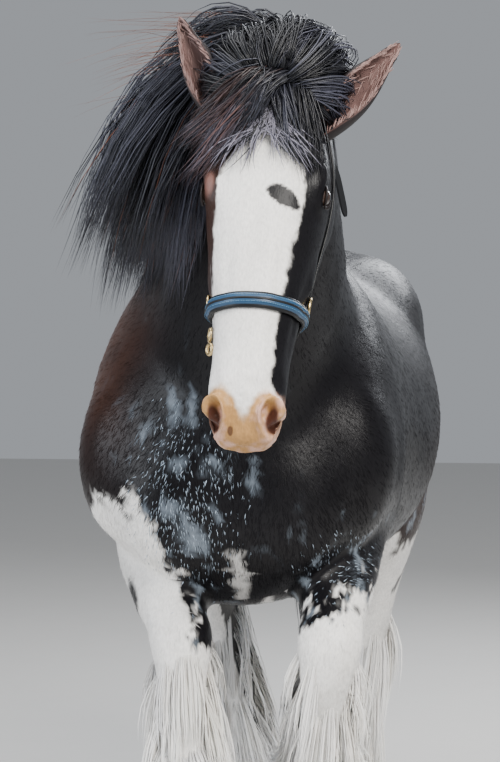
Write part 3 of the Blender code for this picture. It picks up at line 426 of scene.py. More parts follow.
def socket_group(
    name: str, inputs: dict[str, tuple[str, object]], outputs: dict[str, str]
) -> bpy.types.NodeTree:
    """An empty shader group with named sockets.

    Args:
        name: The group's name.
        inputs: Each input's kind and first value.
        outputs: Each output's kind.

    Returns:
        The group, with its input and output nodes.
    """
    group = bpy.data.node_groups.new(name, "ShaderNodeTree")
    for label, (kind, value) in inputs.items():
        made = group.interface.new_socket(label, in_out="INPUT", socket_type=kind)
        made.default_value = value
    for label, kind in outputs.items():
        group.interface.new_socket(label, in_out="OUTPUT", socket_type=kind)
    group.nodes.new("NodeGroupInput").name = "in"
    group.nodes.new("NodeGroupOutput").name = "out"
    return group


def grain_group() -> bpy.types.NodeTree:
    """Stretched grain: it varies a colour and gives a height. Built once.

    Returns:
        The group.
    """
    found = bpy.data.node_groups.get("stretched_grain")
    if found:
        return found
    inputs = {
        "Colour": ("NodeSocketColor", (1.0, 1.0, 1.0, 1.0)),
        "Stretch": ("NodeSocketVector", (100.0, 100.0, 100.0)),
        "Patch Scale": ("NodeSocketFloat", 6.0),
        "Grain": ("NodeSocketFloat", 0.3),
        "Patches": ("NodeSocketFloat", 0.3),
    }
    group = socket_group(
        "stretched_grain", inputs,
        {"Colour": "NodeSocketColor", "Height": "NodeSocketFloat", "Rough": "NodeSocketFloat"},
    )
    nodes, links = group.nodes, group.links
    start, end = nodes["in"], nodes["out"]
    place = nodes.new("ShaderNodeTexCoord")
    scaled = nodes.new("ShaderNodeVectorMath")
    scaled.operation = "MULTIPLY"
    links.new(place.outputs["Object"], scaled.inputs[0])
    links.new(start.outputs["Stretch"], scaled.inputs[1])
    fine = nodes.new("ShaderNodeTexNoise")
    fine.inputs["Scale"].default_value = 1.0
    fine.inputs["Detail"].default_value = 4.0
    fine.inputs["Roughness"].default_value = 0.6
    links.new(scaled.outputs[0], fine.inputs["Vector"])
    broad = nodes.new("ShaderNodeTexNoise")
    broad.inputs["Detail"].default_value = 3.0
    links.new(place.outputs["Object"], broad.inputs["Vector"])
    links.new(start.outputs["Patch Scale"], broad.inputs["Scale"])
    factors = []
    for source, amount in ((fine, "Grain"), (broad, "Patches")):
        centred = nodes.new("ShaderNodeMath")
        centred.operation = "MULTIPLY_ADD"
        centred.inputs[1].default_value = 2.0
        centred.inputs[2].default_value = -1.0
        links.new(source.outputs["Fac"], centred.inputs[0])
        weighed = nodes.new("ShaderNodeMath")
        weighed.operation = "MULTIPLY_ADD"
        weighed.inputs[2].default_value = 1.0
        links.new(centred.outputs[0], weighed.inputs[0])
        links.new(start.outputs[amount], weighed.inputs[1])
        factors.append(weighed)
    both = nodes.new("ShaderNodeMath")
    both.operation = "MULTIPLY"
    links.new(factors[0].outputs[0], both.inputs[0])
    links.new(factors[1].outputs[0], both.inputs[1])
    tinted = nodes.new("ShaderNodeVectorMath")
    tinted.operation = "SCALE"
    links.new(start.outputs["Colour"], tinted.inputs[0])
    links.new(both.outputs[0], tinted.inputs["Scale"])
    links.new(tinted.outputs[0], end.inputs["Colour"])
    links.new(fine.outputs["Fac"], end.inputs["Height"])
    links.new(broad.outputs["Fac"], end.inputs["Rough"])
    return group


@dataclass(frozen=True)
class Finish:
    """A surface: its colour or its points' tint, its gloss, and its grain."""

    name: str
    slot: str
    roughness: float
    colour: Tint | None = None
    metallic: float = 0.0
    coat: float = 0.0
    coat_roughness: float = 0.2
    specular: float = 0.5
    stretch: tuple[float, float, float] = (90.0, 90.0, 90.0)
    patch_scale: float = 6.0
    grain: float = 0.3
    patches: float = 0.25
    bump: float = 0.2
    bump_depth: float = 0.001
    rough_range: float = 0.08

    def material(self) -> bpy.types.Material:
        """The Blender material of this finish, made once.

        Returns:
            The material.
        """
        found = bpy.data.materials.get(self.name)
        if found:
            return found
        made = bpy.data.materials.new(self.name)
        made.use_nodes = True
        nodes, links = made.node_tree.nodes, made.node_tree.links
        shader = nodes["Principled BSDF"]
        grain = nodes.new("ShaderNodeGroup")
        grain.node_tree = grain_group()
        gloss = {"Metallic": self.metallic, "Specular IOR Level": self.specular}
        gloss |= {"Coat Weight": self.coat, "Coat Roughness": self.coat_roughness}
        pattern = {"Stretch": self.stretch, "Patch Scale": self.patch_scale}
        pattern |= {"Grain": self.grain, "Patches": self.patches}
        for node, values in ((shader, gloss), (grain, pattern)):
            for label, value in values.items():
                node.inputs[label].default_value = value
        if self.colour is None:
            tint = nodes.new("ShaderNodeAttribute")
            tint.attribute_name = "tint"
            links.new(tint.outputs["Color"], grain.inputs["Colour"])
        else:
            grain.inputs["Colour"].default_value = self.colour.rgba()
        links.new(grain.outputs["Colour"], shader.inputs["Base Color"])
        rough = nodes.new("ShaderNodeMapRange")
        rough.inputs["To Min"].default_value = max(self.roughness - self.rough_range, 0.02)
        rough.inputs["To Max"].default_value = min(self.roughness + self.rough_range, 1.0)
        links.new(grain.outputs["Rough"], rough.inputs["Value"])
        links.new(rough.outputs[0], shader.inputs["Roughness"])
        bump = nodes.new("ShaderNodeBump")
        bump.inputs["Strength"].default_value = self.bump
        bump.inputs["Distance"].default_value = self.bump_depth
        links.new(grain.outputs["Height"], bump.inputs["Height"])
        links.new(bump.outputs[0], shader.inputs["Normal"])
        return made

    def dress(self, thing: Thing, angle: float = 180.0) -> Thing:
        """Gives an object this finish and lets it ride on the horse.

        Args:
            thing: The object.
            angle: The steepest edge that is shaded smooth, in degrees.

        Returns:
            The same object.
        """
        thing.data.materials.clear()
        thing.data.materials.append(self.material())
        thing.data.shade_smooth()
        if angle < 180:
            thing.data.set_sharp_from_angle(angle=math.radians(angle))
        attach(thing, "root")
        LOG.info("%s: %d faces", thing.name, len(thing.data.polygons))
        return thing


SKIN = Finish(
    "coat_skin", "coat_black", 0.34, coat=0.03, coat_roughness=0.3, specular=0.16,
    stretch=(260.0, 90.0, 110.0), grain=0.35, patches=0.3, bump=0.35, bump_depth=0.002,
)
SHORT_COAT = Finish(
    "short_coat", "coat_black", 0.42, specular=0.1, stretch=(260.0, 90.0, 110.0), grain=0.25, bump=0.1
)
LONG_HAIR = Finish(
    "long_hair", "hair_black", 0.4, coat=0.06, coat_roughness=0.3, specular=0.36,
    stretch=(220.0, 220.0, 30.0), grain=0.4, bump=0.25,
)
FEATHER_HAIR = Finish(
    "feather_hair", "coat_white", 0.62, specular=0.3, stretch=(240.0, 240.0, 40.0), grain=0.14,
    patches=0.12, bump=0.2,
)
EAR_SKIN = Finish(
    "ear_skin", "hair_black", 0.55, specular=0.25, stretch=(220.0, 220.0, 60.0), grain=0.3, bump=0.3
)
EYE_GLASS = Finish(
    "eye_wet", "eye_brown", 0.06, coat=0.9, coat_roughness=0.03, stretch=(300.0, 300.0, 300.0), grain=0.12,
    patches=0.08, bump=0.02, rough_range=0.01,
)
HORN = Finish(
    "hoof_horn_grown", "hoof_horn", 0.42, Tint(0.36, 0.27, 0.19), stretch=(60.0, 60.0, 520.0), grain=0.3,
    patches=0.35, patch_scale=22.0, bump=0.35, bump_depth=0.002,
)
BLUE_STRAP = Finish(
    "strap_blue_padded", "strap_blue", 0.42, Tint(0.014, 0.06, 0.13), coat=0.12, specular=0.4,
    stretch=(420.0, 420.0, 420.0), grain=0.2, patch_scale=16.0, bump=0.3,
)
BLACK_STRAP = Finish(
    "strap_black_leather", "strap_black", 0.45, Tint(0.007, 0.0075, 0.009), coat=0.05, specular=0.25,
    stretch=(380.0, 380.0, 380.0), grain=0.25, bump=0.35,
)
THREAD = Finish(
    "strap_thread", "strap_blue", 0.6, Tint(0.1, 0.22, 0.34), stretch=(900.0, 900.0, 900.0), grain=0.3,
    bump=0.2,
)
FITTING = Finish(
    "strap_fitting", "strap_black", 0.28, Tint(0.62, 0.47, 0.24), metallic=1.0,
    stretch=(200.0, 200.0, 200.0), grain=0.12, patch_scale=40.0, bump=0.08,
)
STAND_PAINT = Finish(
    "stand_paint", "stand_grey", 0.42, Tint(0.2, 0.2, 0.21), metallic=0.5, stretch=(320.0, 320.0, 320.0),
    grain=0.1, patches=0.12, bump=0.12,
)
PALE_FLOOR = Finish(
    "studio_floor", "stand_grey", 0.85, Tint(0.62, 0.61, 0.59), stretch=(30.0, 30.0, 30.0), grain=0.02,
    patches=0.02, bump=0.02,
)


# Markings


class Nostril:
    """The place of the nostrils on the muzzle, which the skin's shape and its markings share."""

    along = 0.712
    aside = 0.054
    reach = (0.0185, 0.0125)

    @classmethod
    def spot(cls, along: Points, side: Points) -> Points:
        """0 in the middle of a nostril and 1 at its rim."""
        lean = along - cls.along + 0.45 * (np.abs(side) - cls.aside)
        return np.sqrt((lean / cls.reach[0]) ** 2 + ((np.abs(side) - cls.aside) / cls.reach[1]) ** 2)


@dataclass(frozen=True)
class Markings:
    """Where the horse is black, brown, white, roan or pink, as a rule in space."""

    blaze: tuple[tuple[float, float, float], ...] = (
        (0.12, 0.0, 0.0),
        (0.14, 0.018, 0.018),
        (0.165, 0.05, 0.055),
        (0.2, 0.078, 0.078),
        (0.245, 0.087, 0.083),
        (0.3, 0.09, 0.078),
        (0.38, 0.088, 0.066),
        (0.472, 0.088, 0.054),
        (0.58, 0.08, 0.047),
        (0.64, 0.085, 0.052),
        (0.69, 0.09, 0.066),
        (0.8, 0.1, 0.08),
    )

    def colours(self, points: Points) -> Points:
        """The colour of the coat at each point.

        Args:
            points: Rows of x, y, z.

        Returns:
            Rows of red, green and blue.
        """
        rough = layered_noise(points, 0.035, 3)
        fine = layered_noise(points * np.array([2.2, 1.0, 0.8]), 0.011, 9)
        broad = layered_noise(points, 0.22, 21)
        white = self.white_legs(points, rough, fine)
        face, muzzle, dark, nostril, lid = self.face(points, rough, fine)
        brown = self.brown(points, broad)
        roan = self.roan(points)
        base = mixed(np.array(BLACK_COAT), BROWN_COAT, brown)
        base = mixed(base, BLUE_ROAN, roan)
        pale = np.array(WHITE_COAT) * (1 - 0.1 * np.clip(broad, 0, 1))[:, None]
        white = np.maximum(white, face) * (1 - dark)
        base = base + (pale - base) * white[:, None]
        _, middle, _ = head_places(points)
        tan = blend_to(-0.3, 0.6, rough + 0.5 * bump((middle, 0.0, 0.035)))[:, None]
        nose = np.array(MUZZLE_PINK) * (1 - tan) + np.array(MUZZLE_TAN) * tan
        base = base + (nose - base) * muzzle[:, None]
        base = mixed(base, LID_BROWN, lid)
        return np.clip(mixed(base, NOSTRIL_BROWN, nostril), 0.003, 0.95)

    def face(self, points: Points, rough: Points, fine: Points) -> tuple[Points, ...]:
        """The blaze, the bare muzzle, the dark spot in the blaze, the nostrils and the right lid.

        Args:
            points: Rows of x, y, z.
            rough: Coarse noise at each point.
            fine: Fine noise at each point.

        Returns:
            The share of each, point by point.
        """
        along, side, up = head_places(points)
        near = near_head(along, side, up)
        places, right, left = zip(*self.blaze)
        reach = np.where(side < 0, np.interp(along, places, right), np.interp(along, places, left))
        edge = reach - np.abs(side) + 0.005 * rough + 0.002 * fine
        under = np.interp(along, (0.0, 0.5, 0.62), (-0.085, -0.1, -0.25))
        blaze = blend_to(-0.004, 0.004, edge) * blend_to(-0.006, 0.006, up - under) * near
        white_end = 0.665 + 0.055 * bump((side, 0.0, 0.022))
        muzzle = blend_to(-0.012, 0.016, along - white_end + 0.012 * rough) * near
        muzzle *= blend_to(-0.2, -0.165, up)
        spot = ((along - 0.276 - 0.35 * (side - 0.04)) / 0.02) ** 2 + ((side - 0.044) / 0.034) ** 2
        pit = Nostril.spot(along, side)
        freckle = ((along - 0.738) / 0.008) ** 2 + ((side + 0.021) / 0.006) ** 2 + 0.5 * rough
        nostril = blend_to(1.35, 0.7, pit) * (up > -0.085)
        nostril = np.maximum(nostril, 0.8 * blend_to(1.2, 0.8, freckle)) * near
        lid = bump((along, 0.24, 0.026), (side, -0.106, 0.012)) * near
        dark = blend_to(1.15, 0.85, spot + 0.45 * rough) * near
        return blaze, muzzle, dark, nostril, 0.9 * blend_to(0.2, 0.8, lid)

    def white_legs(self, points: Points, rough: Points, fine: Points) -> Points:
        """White legs: high on the right foreleg and the left hind leg, to the knee on the left foreleg.

        Args:
            points: Rows of x, y, z.
            rough: Coarse noise at each point.
            fine: Fine noise at each point.

        Returns:
            How white each point is.
        """
        x, y, z = points.T
        jag = 0.05 * rough + 0.022 * fine
        right = 1.17 - 2.0 * np.clip(x + 0.2, 0, 1) - 0.25 * np.clip(y + 0.62, 0, 1)
        right = right - 1.9 * np.clip(-0.305 - x, 0, 1)
        left = 0.915 + 0.35 * np.clip(x - 0.2, 0, 0.2)
        fore = np.where(x < 0.05, right, left)
        hind = np.where(x > 0.0, 0.97 - 0.55 * np.clip(y - 0.5, 0, 1), 0.8)
        top = np.where(y < 0.0, fore, hind)
        belly = np.abs(x) > 0.045 + 0.02 * rough
        white = blend_to(-0.012, 0.012, top - z + jag) * np.where(z > 0.86, belly, 1)
        patch = ((x + 0.235) / 0.022) ** 2 + ((z - 0.915) / 0.055) ** 2 + ((y + 0.72) / 0.14) ** 2
        middle = np.interp(
            z, (0.345, 0.47, 0.59, 0.675, 0.78, 0.92), (-0.15, -0.187, -0.222, -0.245, -0.258, -0.268)
        )
        stripe = (x > middle + 0.034 + 0.006 * rough) & (x < 0.0) & (y > 0.3) & (z > 0.3) & (z < 0.86)
        spots = (lattice_noise(points, 0.04, 41) > 0.62) & (y > 0.2) & (x > 0.0) & (z > 0.72)
        white = white * blend_to(0.6, 1.3, patch + 0.5 * rough) * (1 - 0.9 * stripe) * (1 - 0.9 * spots)
        strip = bump((x + 0.01 * rough, 0.02, 0.013)) * (y < -0.5) * (z > 0.94) * (z < 1.06)
        return np.maximum(white, 0.55 * blend_to(0.4, 0.8, strip))

    def brown(self, points: Points, broad: Points) -> Points:
        """The sun-faded brown on the right shoulder, the flank and the jaw.

        Args:
            points: Rows of x, y, z.
            broad: Broad noise at each point.

        Returns:
            How brown each point is.
        """
        x, y, z = points.T
        shoulder = bump((x, -0.33, 0.12), (y, -0.55, 0.42), (z, 1.52, 0.26))
        flank = bump((y, 0.42, 0.25), (z, 1.1, 0.18)) * (np.abs(x) > 0.2)
        cheek = bump((y, -1.36, 0.2), (z, 1.72, 0.2)) * (x < 0.12)
        return np.clip((1.15 * shoulder + 0.5 * flank + 0.55 * cheek) * (0.8 + 0.5 * broad), 0, 1)

    def roan_share(self, points: Points) -> Points:
        """How many hairs are white among the black, most low on the chest and by the white legs.

        Args:
            points: Rows of x, y, z.

        Returns:
            The share of white hairs at each point.
        """
        x, y, z = points.T
        chest = bump((x, -0.09, 0.13), (z, 1.16, 0.24)) * (y < -0.45)
        arm = bump((x, 0.24, 0.1), (z, 1.0, 0.12)) * (y < -0.3)
        thigh = bump((z, 1.05, 0.12)) * (y > 0.2) * (x > 0.0)
        return 0.95 * chest + 0.8 * arm + 0.55 * thigh

    def roan(self, points: Points) -> Points:
        """Patches of white hairs through the black.

        Args:
            points: Rows of x, y, z.

        Returns:
            How pale each point is.
        """
        amount = self.roan_share(points)
        streaks = layered_noise(points * np.array([1.0, 1.0, 0.5]), 0.026, 77)
        return blend_to(0.15, 0.75, streaks + 0.75 * amount - 0.55) * np.clip(amount * 1.5, 0, 0.5)


# The flesh


class Ring(NamedTuple):
    """One cross-section: its centre, its up and side directions, and its half sizes."""

    centre: Vector
    up_axis: Vector
    side_axis: Vector
    wide: float
    up: float
    down: float
    square: float = 2.0
    pinch_up: float = 0.0
    pinch_down: float = 0.0


def between(rings: Sequence[Ring], steps: int) -> list[Ring]:
    """The rings with smooth ones added between them.

    Args:
        rings: The cross-sections in order.
        steps: Spans between two of them.

    Returns:
        The rings, old and new.
    """
    table = [[*r.centre, *r.up_axis, *r.side_axis, *r[3:]] for r in rings]
    rows = through(table, steps)
    return [
        Ring(Vector(q[0:3]), Vector(q[3:6]).normalized(), Vector(q[6:9]).normalized(), *q[9:]) for q in rows
    ]


def outline(ring: Ring, sides: int) -> list[Vector]:
    """The points of one superelliptic cross-section.

    Args:
        ring: The cross-section.
        sides: How many points it has.

    Returns:
        The points in order round it.
    """
    rows = []
    for angle in 2 * math.pi * np.arange(sides) / sides:
        c, s = math.cos(angle), math.sin(angle)
        across = math.copysign(abs(c) ** (2 / ring.square), c)
        height = math.copysign(abs(s) ** (2 / ring.square), s)
        pinch = ring.pinch_up * max(height, 0) ** 1.5 + ring.pinch_down * max(-height, 0) ** 1.5
        reach = ring.up if s > 0 else ring.down
        side = ring.side_axis * (across * ring.wide * (1 - pinch))
        rows.append(ring.centre + side + ring.up_axis * (height * reach))
    return rows


def loft(name: str, rings: Sequence[Ring], sides: int = 24, steps: int = 3) -> Thing:
    """A closed solid through rings.

    Args:
        name: The object's name.
        rings: The cross-sections in order.
        sides: Points round each.
        steps: Spans between two of them.

    Returns:
        The object.
    """
    smooth = between(rings, steps)
    points = [p for ring in smooth for p in outline(ring, sides)]
    return face_outwards(new_object(name, points, tube_faces(len(smooth), sides)))


def blob(
    name: str, place: Vector, radii: Sequence[float], axes: Sequence[Vector] | None = None,
    segments: int = 20,
) -> Thing:
    """An ellipsoid with its radii along given axes or the world's.

    Args:
        name: The object's name.
        place: Where it lies.
        radii: Its half sizes.
        axes: The directions of its radii, or none for the world's.
        segments: How many faces go round it.

    Returns:
        The object.
    """
    bpy.ops.mesh.primitive_uv_sphere_add(segments=segments, ring_count=segments // 2 + 2, radius=1)
    made = bpy.context.object
    made.name = name
    turn = Matrix(axes).transposed().to_4x4() if axes else Matrix.Identity(4)
    made.data.transform(Matrix.Translation(place) @ turn @ Matrix.Diagonal((*radii, 1)))
    return face_outwards(made)


def remeshed(forms: Sequence[Thing], name: str, voxel: float, smoothing: int) -> Thing:
    """One smooth closed skin over overlapping forms.

    Args:
        forms: The forms, which are used up.
        name: The new object's name.
        voxel: The remesh step.
        smoothing: How many times the surface is relaxed.

    Returns:
        The skin.
    """
    made = join(forms, name)
    skin = made.modifiers.new("skin", "REMESH")
    skin.mode = "VOXEL"
    skin.voxel_size = voxel
    soft = made.modifiers.new("soften", "SMOOTH")
    soft.factor = 0.5
    soft.iterations = smoothing
    return apply_modifiers(made)


# Each ring of a leg: x, y and z of its middle, then its half sizes aside, ahead and behind
LEG_RINGS = {
    "fore_right": (
        (-0.205, -0.36, 1.2, 0.13, 0.15, 0.15),
        (-0.208, -0.46, 1.1, 0.122, 0.13, 0.13),
        (-0.188, -0.58, 1.02, 0.105, 0.112, 0.112),
        (-0.158, -0.7, 0.955, 0.088, 0.09, 0.088),
        (-0.125, -0.79, 0.9, 0.073, 0.068, 0.068),
        (-0.105, -0.848, 0.858, 0.074, 0.068, 0.065),
        (-0.098, -0.878, 0.806, 0.064, 0.058, 0.062),
        (-0.092, -0.904, 0.736, 0.052, 0.049, 0.058),
        (-0.085, -0.928, 0.652, 0.048, 0.047, 0.058),
        (-0.078, -0.955, 0.572, 0.06, 0.06, 0.068),
        (-0.074, -0.992, 0.516, 0.055, 0.054, 0.058),
        (-0.071, -1.035, 0.472, 0.07, 0.072, 0.068),
        (-0.069, -1.062, 0.446, 0.074, 0.076, 0.07),
    ),
    "fore_left": (
        (0.2, -0.36, 1.2, 0.13, 0.15, 0.15),
        (0.208, -0.46, 1.1, 0.122, 0.13, 0.13),
        (0.216, -0.58, 1.025, 0.105, 0.112, 0.112),
        (0.221, -0.7, 0.96, 0.089, 0.09, 0.088),
        (0.222, -0.79, 0.905, 0.074, 0.069, 0.068),
        (0.221, -0.848, 0.858, 0.076, 0.07, 0.066),
        (0.216, -0.858, 0.792, 0.065, 0.06, 0.062),
        (0.207, -0.842, 0.724, 0.052, 0.05, 0.058),
        (0.195, -0.812, 0.648, 0.048, 0.048, 0.058),
        (0.185, -0.772, 0.578, 0.06, 0.062, 0.066),
        (0.179, -0.714, 0.537, 0.055, 0.054, 0.057),
        (0.175, -0.657, 0.51, 0.07, 0.072, 0.068),
        (0.173, -0.625, 0.496, 0.074, 0.076, 0.07),
    ),
    "hind_right": (
        (-0.18, 0.64, 1.42, 0.185, 0.25, 0.26),
        (-0.215, 0.57, 1.24, 0.175, 0.23, 0.24),
        (-0.252, 0.5, 1.07, 0.15, 0.18, 0.23),
        (-0.268, 0.56, 0.92, 0.115, 0.125, 0.15),
        (-0.258, 0.65, 0.78, 0.084, 0.082, 0.096),
        (-0.245, 0.71, 0.675, 0.072, 0.078, 0.086),
        (-0.222, 0.712, 0.59, 0.06, 0.061, 0.066),
        (-0.187, 0.675, 0.47, 0.049, 0.05, 0.058),
        (-0.15, 0.63, 0.345, 0.061, 0.064, 0.068),
        (-0.134, 0.588, 0.27, 0.056, 0.056, 0.06),
        (-0.121, 0.545, 0.195, 0.072, 0.076, 0.072),
        (-0.116, 0.528, 0.16, 0.078, 0.08, 0.076),
    ),
    "hind_left": (
        (0.175, 0.6, 1.42, 0.185, 0.25, 0.26),
        (0.208, 0.5, 1.24, 0.175, 0.23, 0.24),
        (0.23, 0.4, 1.08, 0.15, 0.18, 0.23),
        (0.22, 0.45, 0.93, 0.115, 0.125, 0.15),
        (0.206, 0.52, 0.79, 0.084, 0.082, 0.096),
        (0.196, 0.57, 0.68, 0.07, 0.076, 0.084),
        (0.188, 0.562, 0.6, 0.06, 0.061, 0.066),
        (0.172, 0.505, 0.48, 0.049, 0.05, 0.058),
        (0.156, 0.435, 0.35, 0.061, 0.064, 0.068),
        (0.15, 0.385, 0.275, 0.056, 0.056, 0.06),
        (0.146, 0.335, 0.2, 0.072, 0.076, 0.072),
        (0.145, 0.314, 0.16, 0.078, 0.08, 0.076),
    ),
}


@dataclass
class Body:
    """The horse's flesh from its cross-sections and muscles, as one skin."""

    coat_depth: float = 0.0025
    skin_voxel: float = 0.0052
    body_faces: int = 77000
    legs: dict[str, tuple[tuple[float, ...], ...]] = field(default_factory=lambda: LEG_RINGS)

    def torso_rings(self) -> list[Ring]:
        """From the breast to the buttocks.

        Returns:
            The rings.
        """
        stations = [
            (-0.885, 1.24, 0.1, 0.1, 0.12, 2.0, 0.0, 0.0),
            (-0.84, 1.25, 0.24, 0.22, 0.25, 2.0, 0.0, 0.0),
            (-0.74, 1.29, 0.33, 0.34, 0.37, 2.3, 0.2, 0.15),
            (-0.58, 1.33, 0.362, 0.43, 0.425, 2.4, 0.25, 0.15),
            (-0.4, 1.34, 0.372, 0.49, 0.44, 2.3, 0.4, 0.15),
            (-0.22, 1.32, 0.382, 0.5, 0.43, 2.2, 0.45, 0.1),
            (-0.02, 1.29, 0.405, 0.44, 0.41, 2.2, 0.3, 0.0),
            (0.18, 1.28, 0.422, 0.42, 0.4, 2.2, 0.2, 0.0),
            (0.36, 1.3, 0.418, 0.42, 0.37, 2.2, 0.2, 0.0),
            (0.52, 1.34, 0.395, 0.425, 0.34, 2.2, 0.2, 0.0),
            (0.68, 1.38, 0.372, 0.38, 0.31, 2.2, 0.25, 0.0),
            (0.83, 1.38, 0.325, 0.3, 0.27, 2.2, 0.2, 0.0),
            (0.93, 1.37, 0.235, 0.2, 0.2, 2.0, 0.0, 0.0),
            (0.975, 1.36, 0.12, 0.1, 0.1, 2.0, 0.0, 0.0),
        ]
        up, side = Vector((0, 0, 1)), Vector((1, 0, 0))
        return [Ring(Vector((0, y, z)), up, side, *sizes) for y, z, *sizes in stations]

    def neck_rings(self) -> list[Ring]:
        """From inside the chest to the poll.

        Returns:
            The rings.
        """
        stations = [
            (0.0, (-0.2, 1.78), (-0.62, 1.06), 0.285, 0.45),
            (0.01, (-0.42, 1.87), (-0.8, 1.18), 0.26, 0.5),
            (0.045, (-0.64, 1.965), (-0.91, 1.37), 0.21, 0.5),
            (0.085, (-0.84, 2.045), (-0.985, 1.54), 0.168, 0.45),
            (0.12, (-1.02, 2.09), (-1.055, 1.68), 0.138, 0.4),
            (0.145, (-1.18, 2.08), (-1.14, 1.78), 0.116, 0.3),
        ]
        rings = []
        for x, crest, throat, wide, pinch in stations:
            top, low = Vector((x, *crest)), Vector((x, *throat))
            half, up = (top - low).length / 2, (top - low).normalized()
            rings.append(Ring((top + low) / 2, up, Vector((1, 0, 0)), wide, half, half, 2.2, pinch, 0.15))
        return rings

    def head_rings(self) -> list[Ring]:
        """From the back of the skull to the lips.

        Returns:
            The rings.
        """
        stations = [
            (-0.03, -0.09, 0.08, 0.085, 0.085, 2.0, 0.0, 0.0),
            (0.03, -0.1, 0.104, 0.128, 0.13, 2.2, 0.1, 0.1),
            (0.1, -0.1, 0.118, 0.152, 0.172, 2.4, 0.2, 0.2),
            (0.17, -0.085, 0.124, 0.14, 0.205, 2.6, 0.12, 0.35),
            (0.24, -0.07, 0.124, 0.122, 0.218, 2.7, 0.12, 0.4),
            (0.31, -0.065, 0.116, 0.109, 0.205, 2.7, 0.18, 0.42),
            (0.38, -0.065, 0.104, 0.098, 0.172, 2.6, 0.18, 0.4),
            (0.45, -0.07, 0.093, 0.092, 0.135, 2.5, 0.15, 0.3),
            (0.52, -0.07, 0.083, 0.084, 0.11, 2.4, 0.15, 0.2),
            (0.58, -0.07, 0.077, 0.077, 0.098, 2.3, 0.12, 0.15),
            (0.64, -0.07, 0.077, 0.069, 0.092, 2.2, 0.1, 0.2),
            (0.69, -0.078, 0.074, 0.06, 0.076, 2.2, 0.1, 0.2),
            (0.73, -0.085, 0.064, 0.045, 0.055, 2.0, 0.0, 0.1),
            (0.755, -0.09, 0.04, 0.026, 0.03, 2.0, 0.0, 0.0),
        ]
        _, side, up = head_axes()
        return [Ring(on_head((along, 0, level)), up, side, *sizes) for along, level, *sizes in stations]

    def leg_rings(self, leg: str) -> list[Ring]:
        """Rings down one leg to its coronet.

        Args:
            leg: The leg's name.

        Returns:
            The rings.
        """
        table = through(self.legs[leg], 4)
        front, rings = Vector((0, -1, 0)), []
        for i, row in enumerate(table):
            run = Vector(table[min(i + 1, len(table) - 1)][:3]) - Vector(table[max(i - 1, 0)][:3])
            run.normalize()
            up = (front - run * front.dot(run)).normalized()
            sizes = [float(size) for size in row[3:6]]
            rings.append(Ring(Vector(row[:3]), up, up.cross(run).normalized(), *sizes, 2.1))
        return rings

    def body_muscles(self) -> list[Thing]:
        """Masses that round the body, alike on both sides.

        Returns:
            The masses.
        """
        masses = [
            ((0.24, -0.5, 1.4), (0.115, 0.22, 0.32), 14, 12),
            ((0.252, -0.7, 1.25), (0.115, 0.14, 0.2), 0, 0),
            ((0.255, -0.42, 1.18), (0.105, 0.19, 0.18), 0, 0),
            ((0.115, -0.8, 1.17), (0.145, 0.1, 0.19), 0, 0),
            ((0.165, 0.56, 1.52), (0.2, 0.33, 0.21), 0, 0),
            ((0.18, 0.76, 1.27), (0.155, 0.165, 0.3), 0, 0),
            ((0.228, 0.69, 1.05), (0.115, 0.12, 0.27), -4, 24),
        ]
        made = []
        for place, radii, lean, slope in masses:
            for side in (-1, 1):
                turn = Matrix.Rotation(math.radians(-lean * side), 3, "Y")
                turn = turn @ Matrix.Rotation(math.radians(-slope), 3, "X")
                spot = Vector((place[0] * side, *place[1:]))
                made.append(blob("muscle", spot, radii, list(turn.transposed())))
        return made

    def head_muscles(self) -> list[Thing]:
        """Masses of the head, alike on both sides, and the chin.

        Returns:
            The masses.
        """
        masses = [
            ((0.165, 0.072, -0.185), (0.115, 0.048, 0.095)),
            ((0.215, 0.09, 0.004), (0.055, 0.034, 0.03)),
            ((0.245, 0.098, -0.016), (0.042, 0.031, 0.033)),
            ((0.36, 0.098, -0.078), (0.08, 0.012, 0.014)),
            ((0.694, 0.045, -0.044), (0.042, 0.031, 0.032)),
            ((0.722, 0.026, -0.082), (0.032, 0.038, 0.032)),
            ((0.7, 0.024, -0.142), (0.04, 0.032, 0.019)),
        ]
        axes = head_axes()
        made = []
        for place, radii in masses:
            for hand in (-1, 1):
                made.append(blob("muscle", on_head((place[0], place[1] * hand, place[2])), radii, axes))
        made.append(blob("chin", on_head((0.668, 0, -0.16)), (0.034, 0.034, 0.022), axes))
        return made

    def build(self) -> Thing:
        """Builds the skin and carves its face.

        Returns:
            The skin, in place of all the nodes of flesh.
        """
        roots = [loft("root", self.leg_rings(leg)[:10], 20, 1) for leg in LEG_NAMES]
        trunk = [loft("torso_form", self.torso_rings(), 32), loft("neck_form", self.neck_rings(), 28)]
        body = remeshed([*trunk, *roots, *self.body_muscles()], "trunk", 0.02, 22)
        legs = [loft("leg", self.leg_rings(leg), 20, 1) for leg in LEG_NAMES]
        body = remeshed([body, loft("head_form", self.head_rings(), 28), *legs], "body_form", 0.014, 6)
        head = [loft("head_form", self.head_rings(), 32), loft("neck_form", self.neck_rings()[2:], 28)]
        head = remeshed([*head, *self.head_muscles()], "head_form", 0.0065, 12)
        skin = remeshed([body, head], "horse_skin", self.skin_voxel, 8)
        inset = skin.modifiers.new("inset", "DISPLACE")
        inset.mid_level = 0
        inset.strength = -self.coat_depth
        apply_modifiers(skin)
        self.refine(skin)
        self.carve(skin)
        return skin

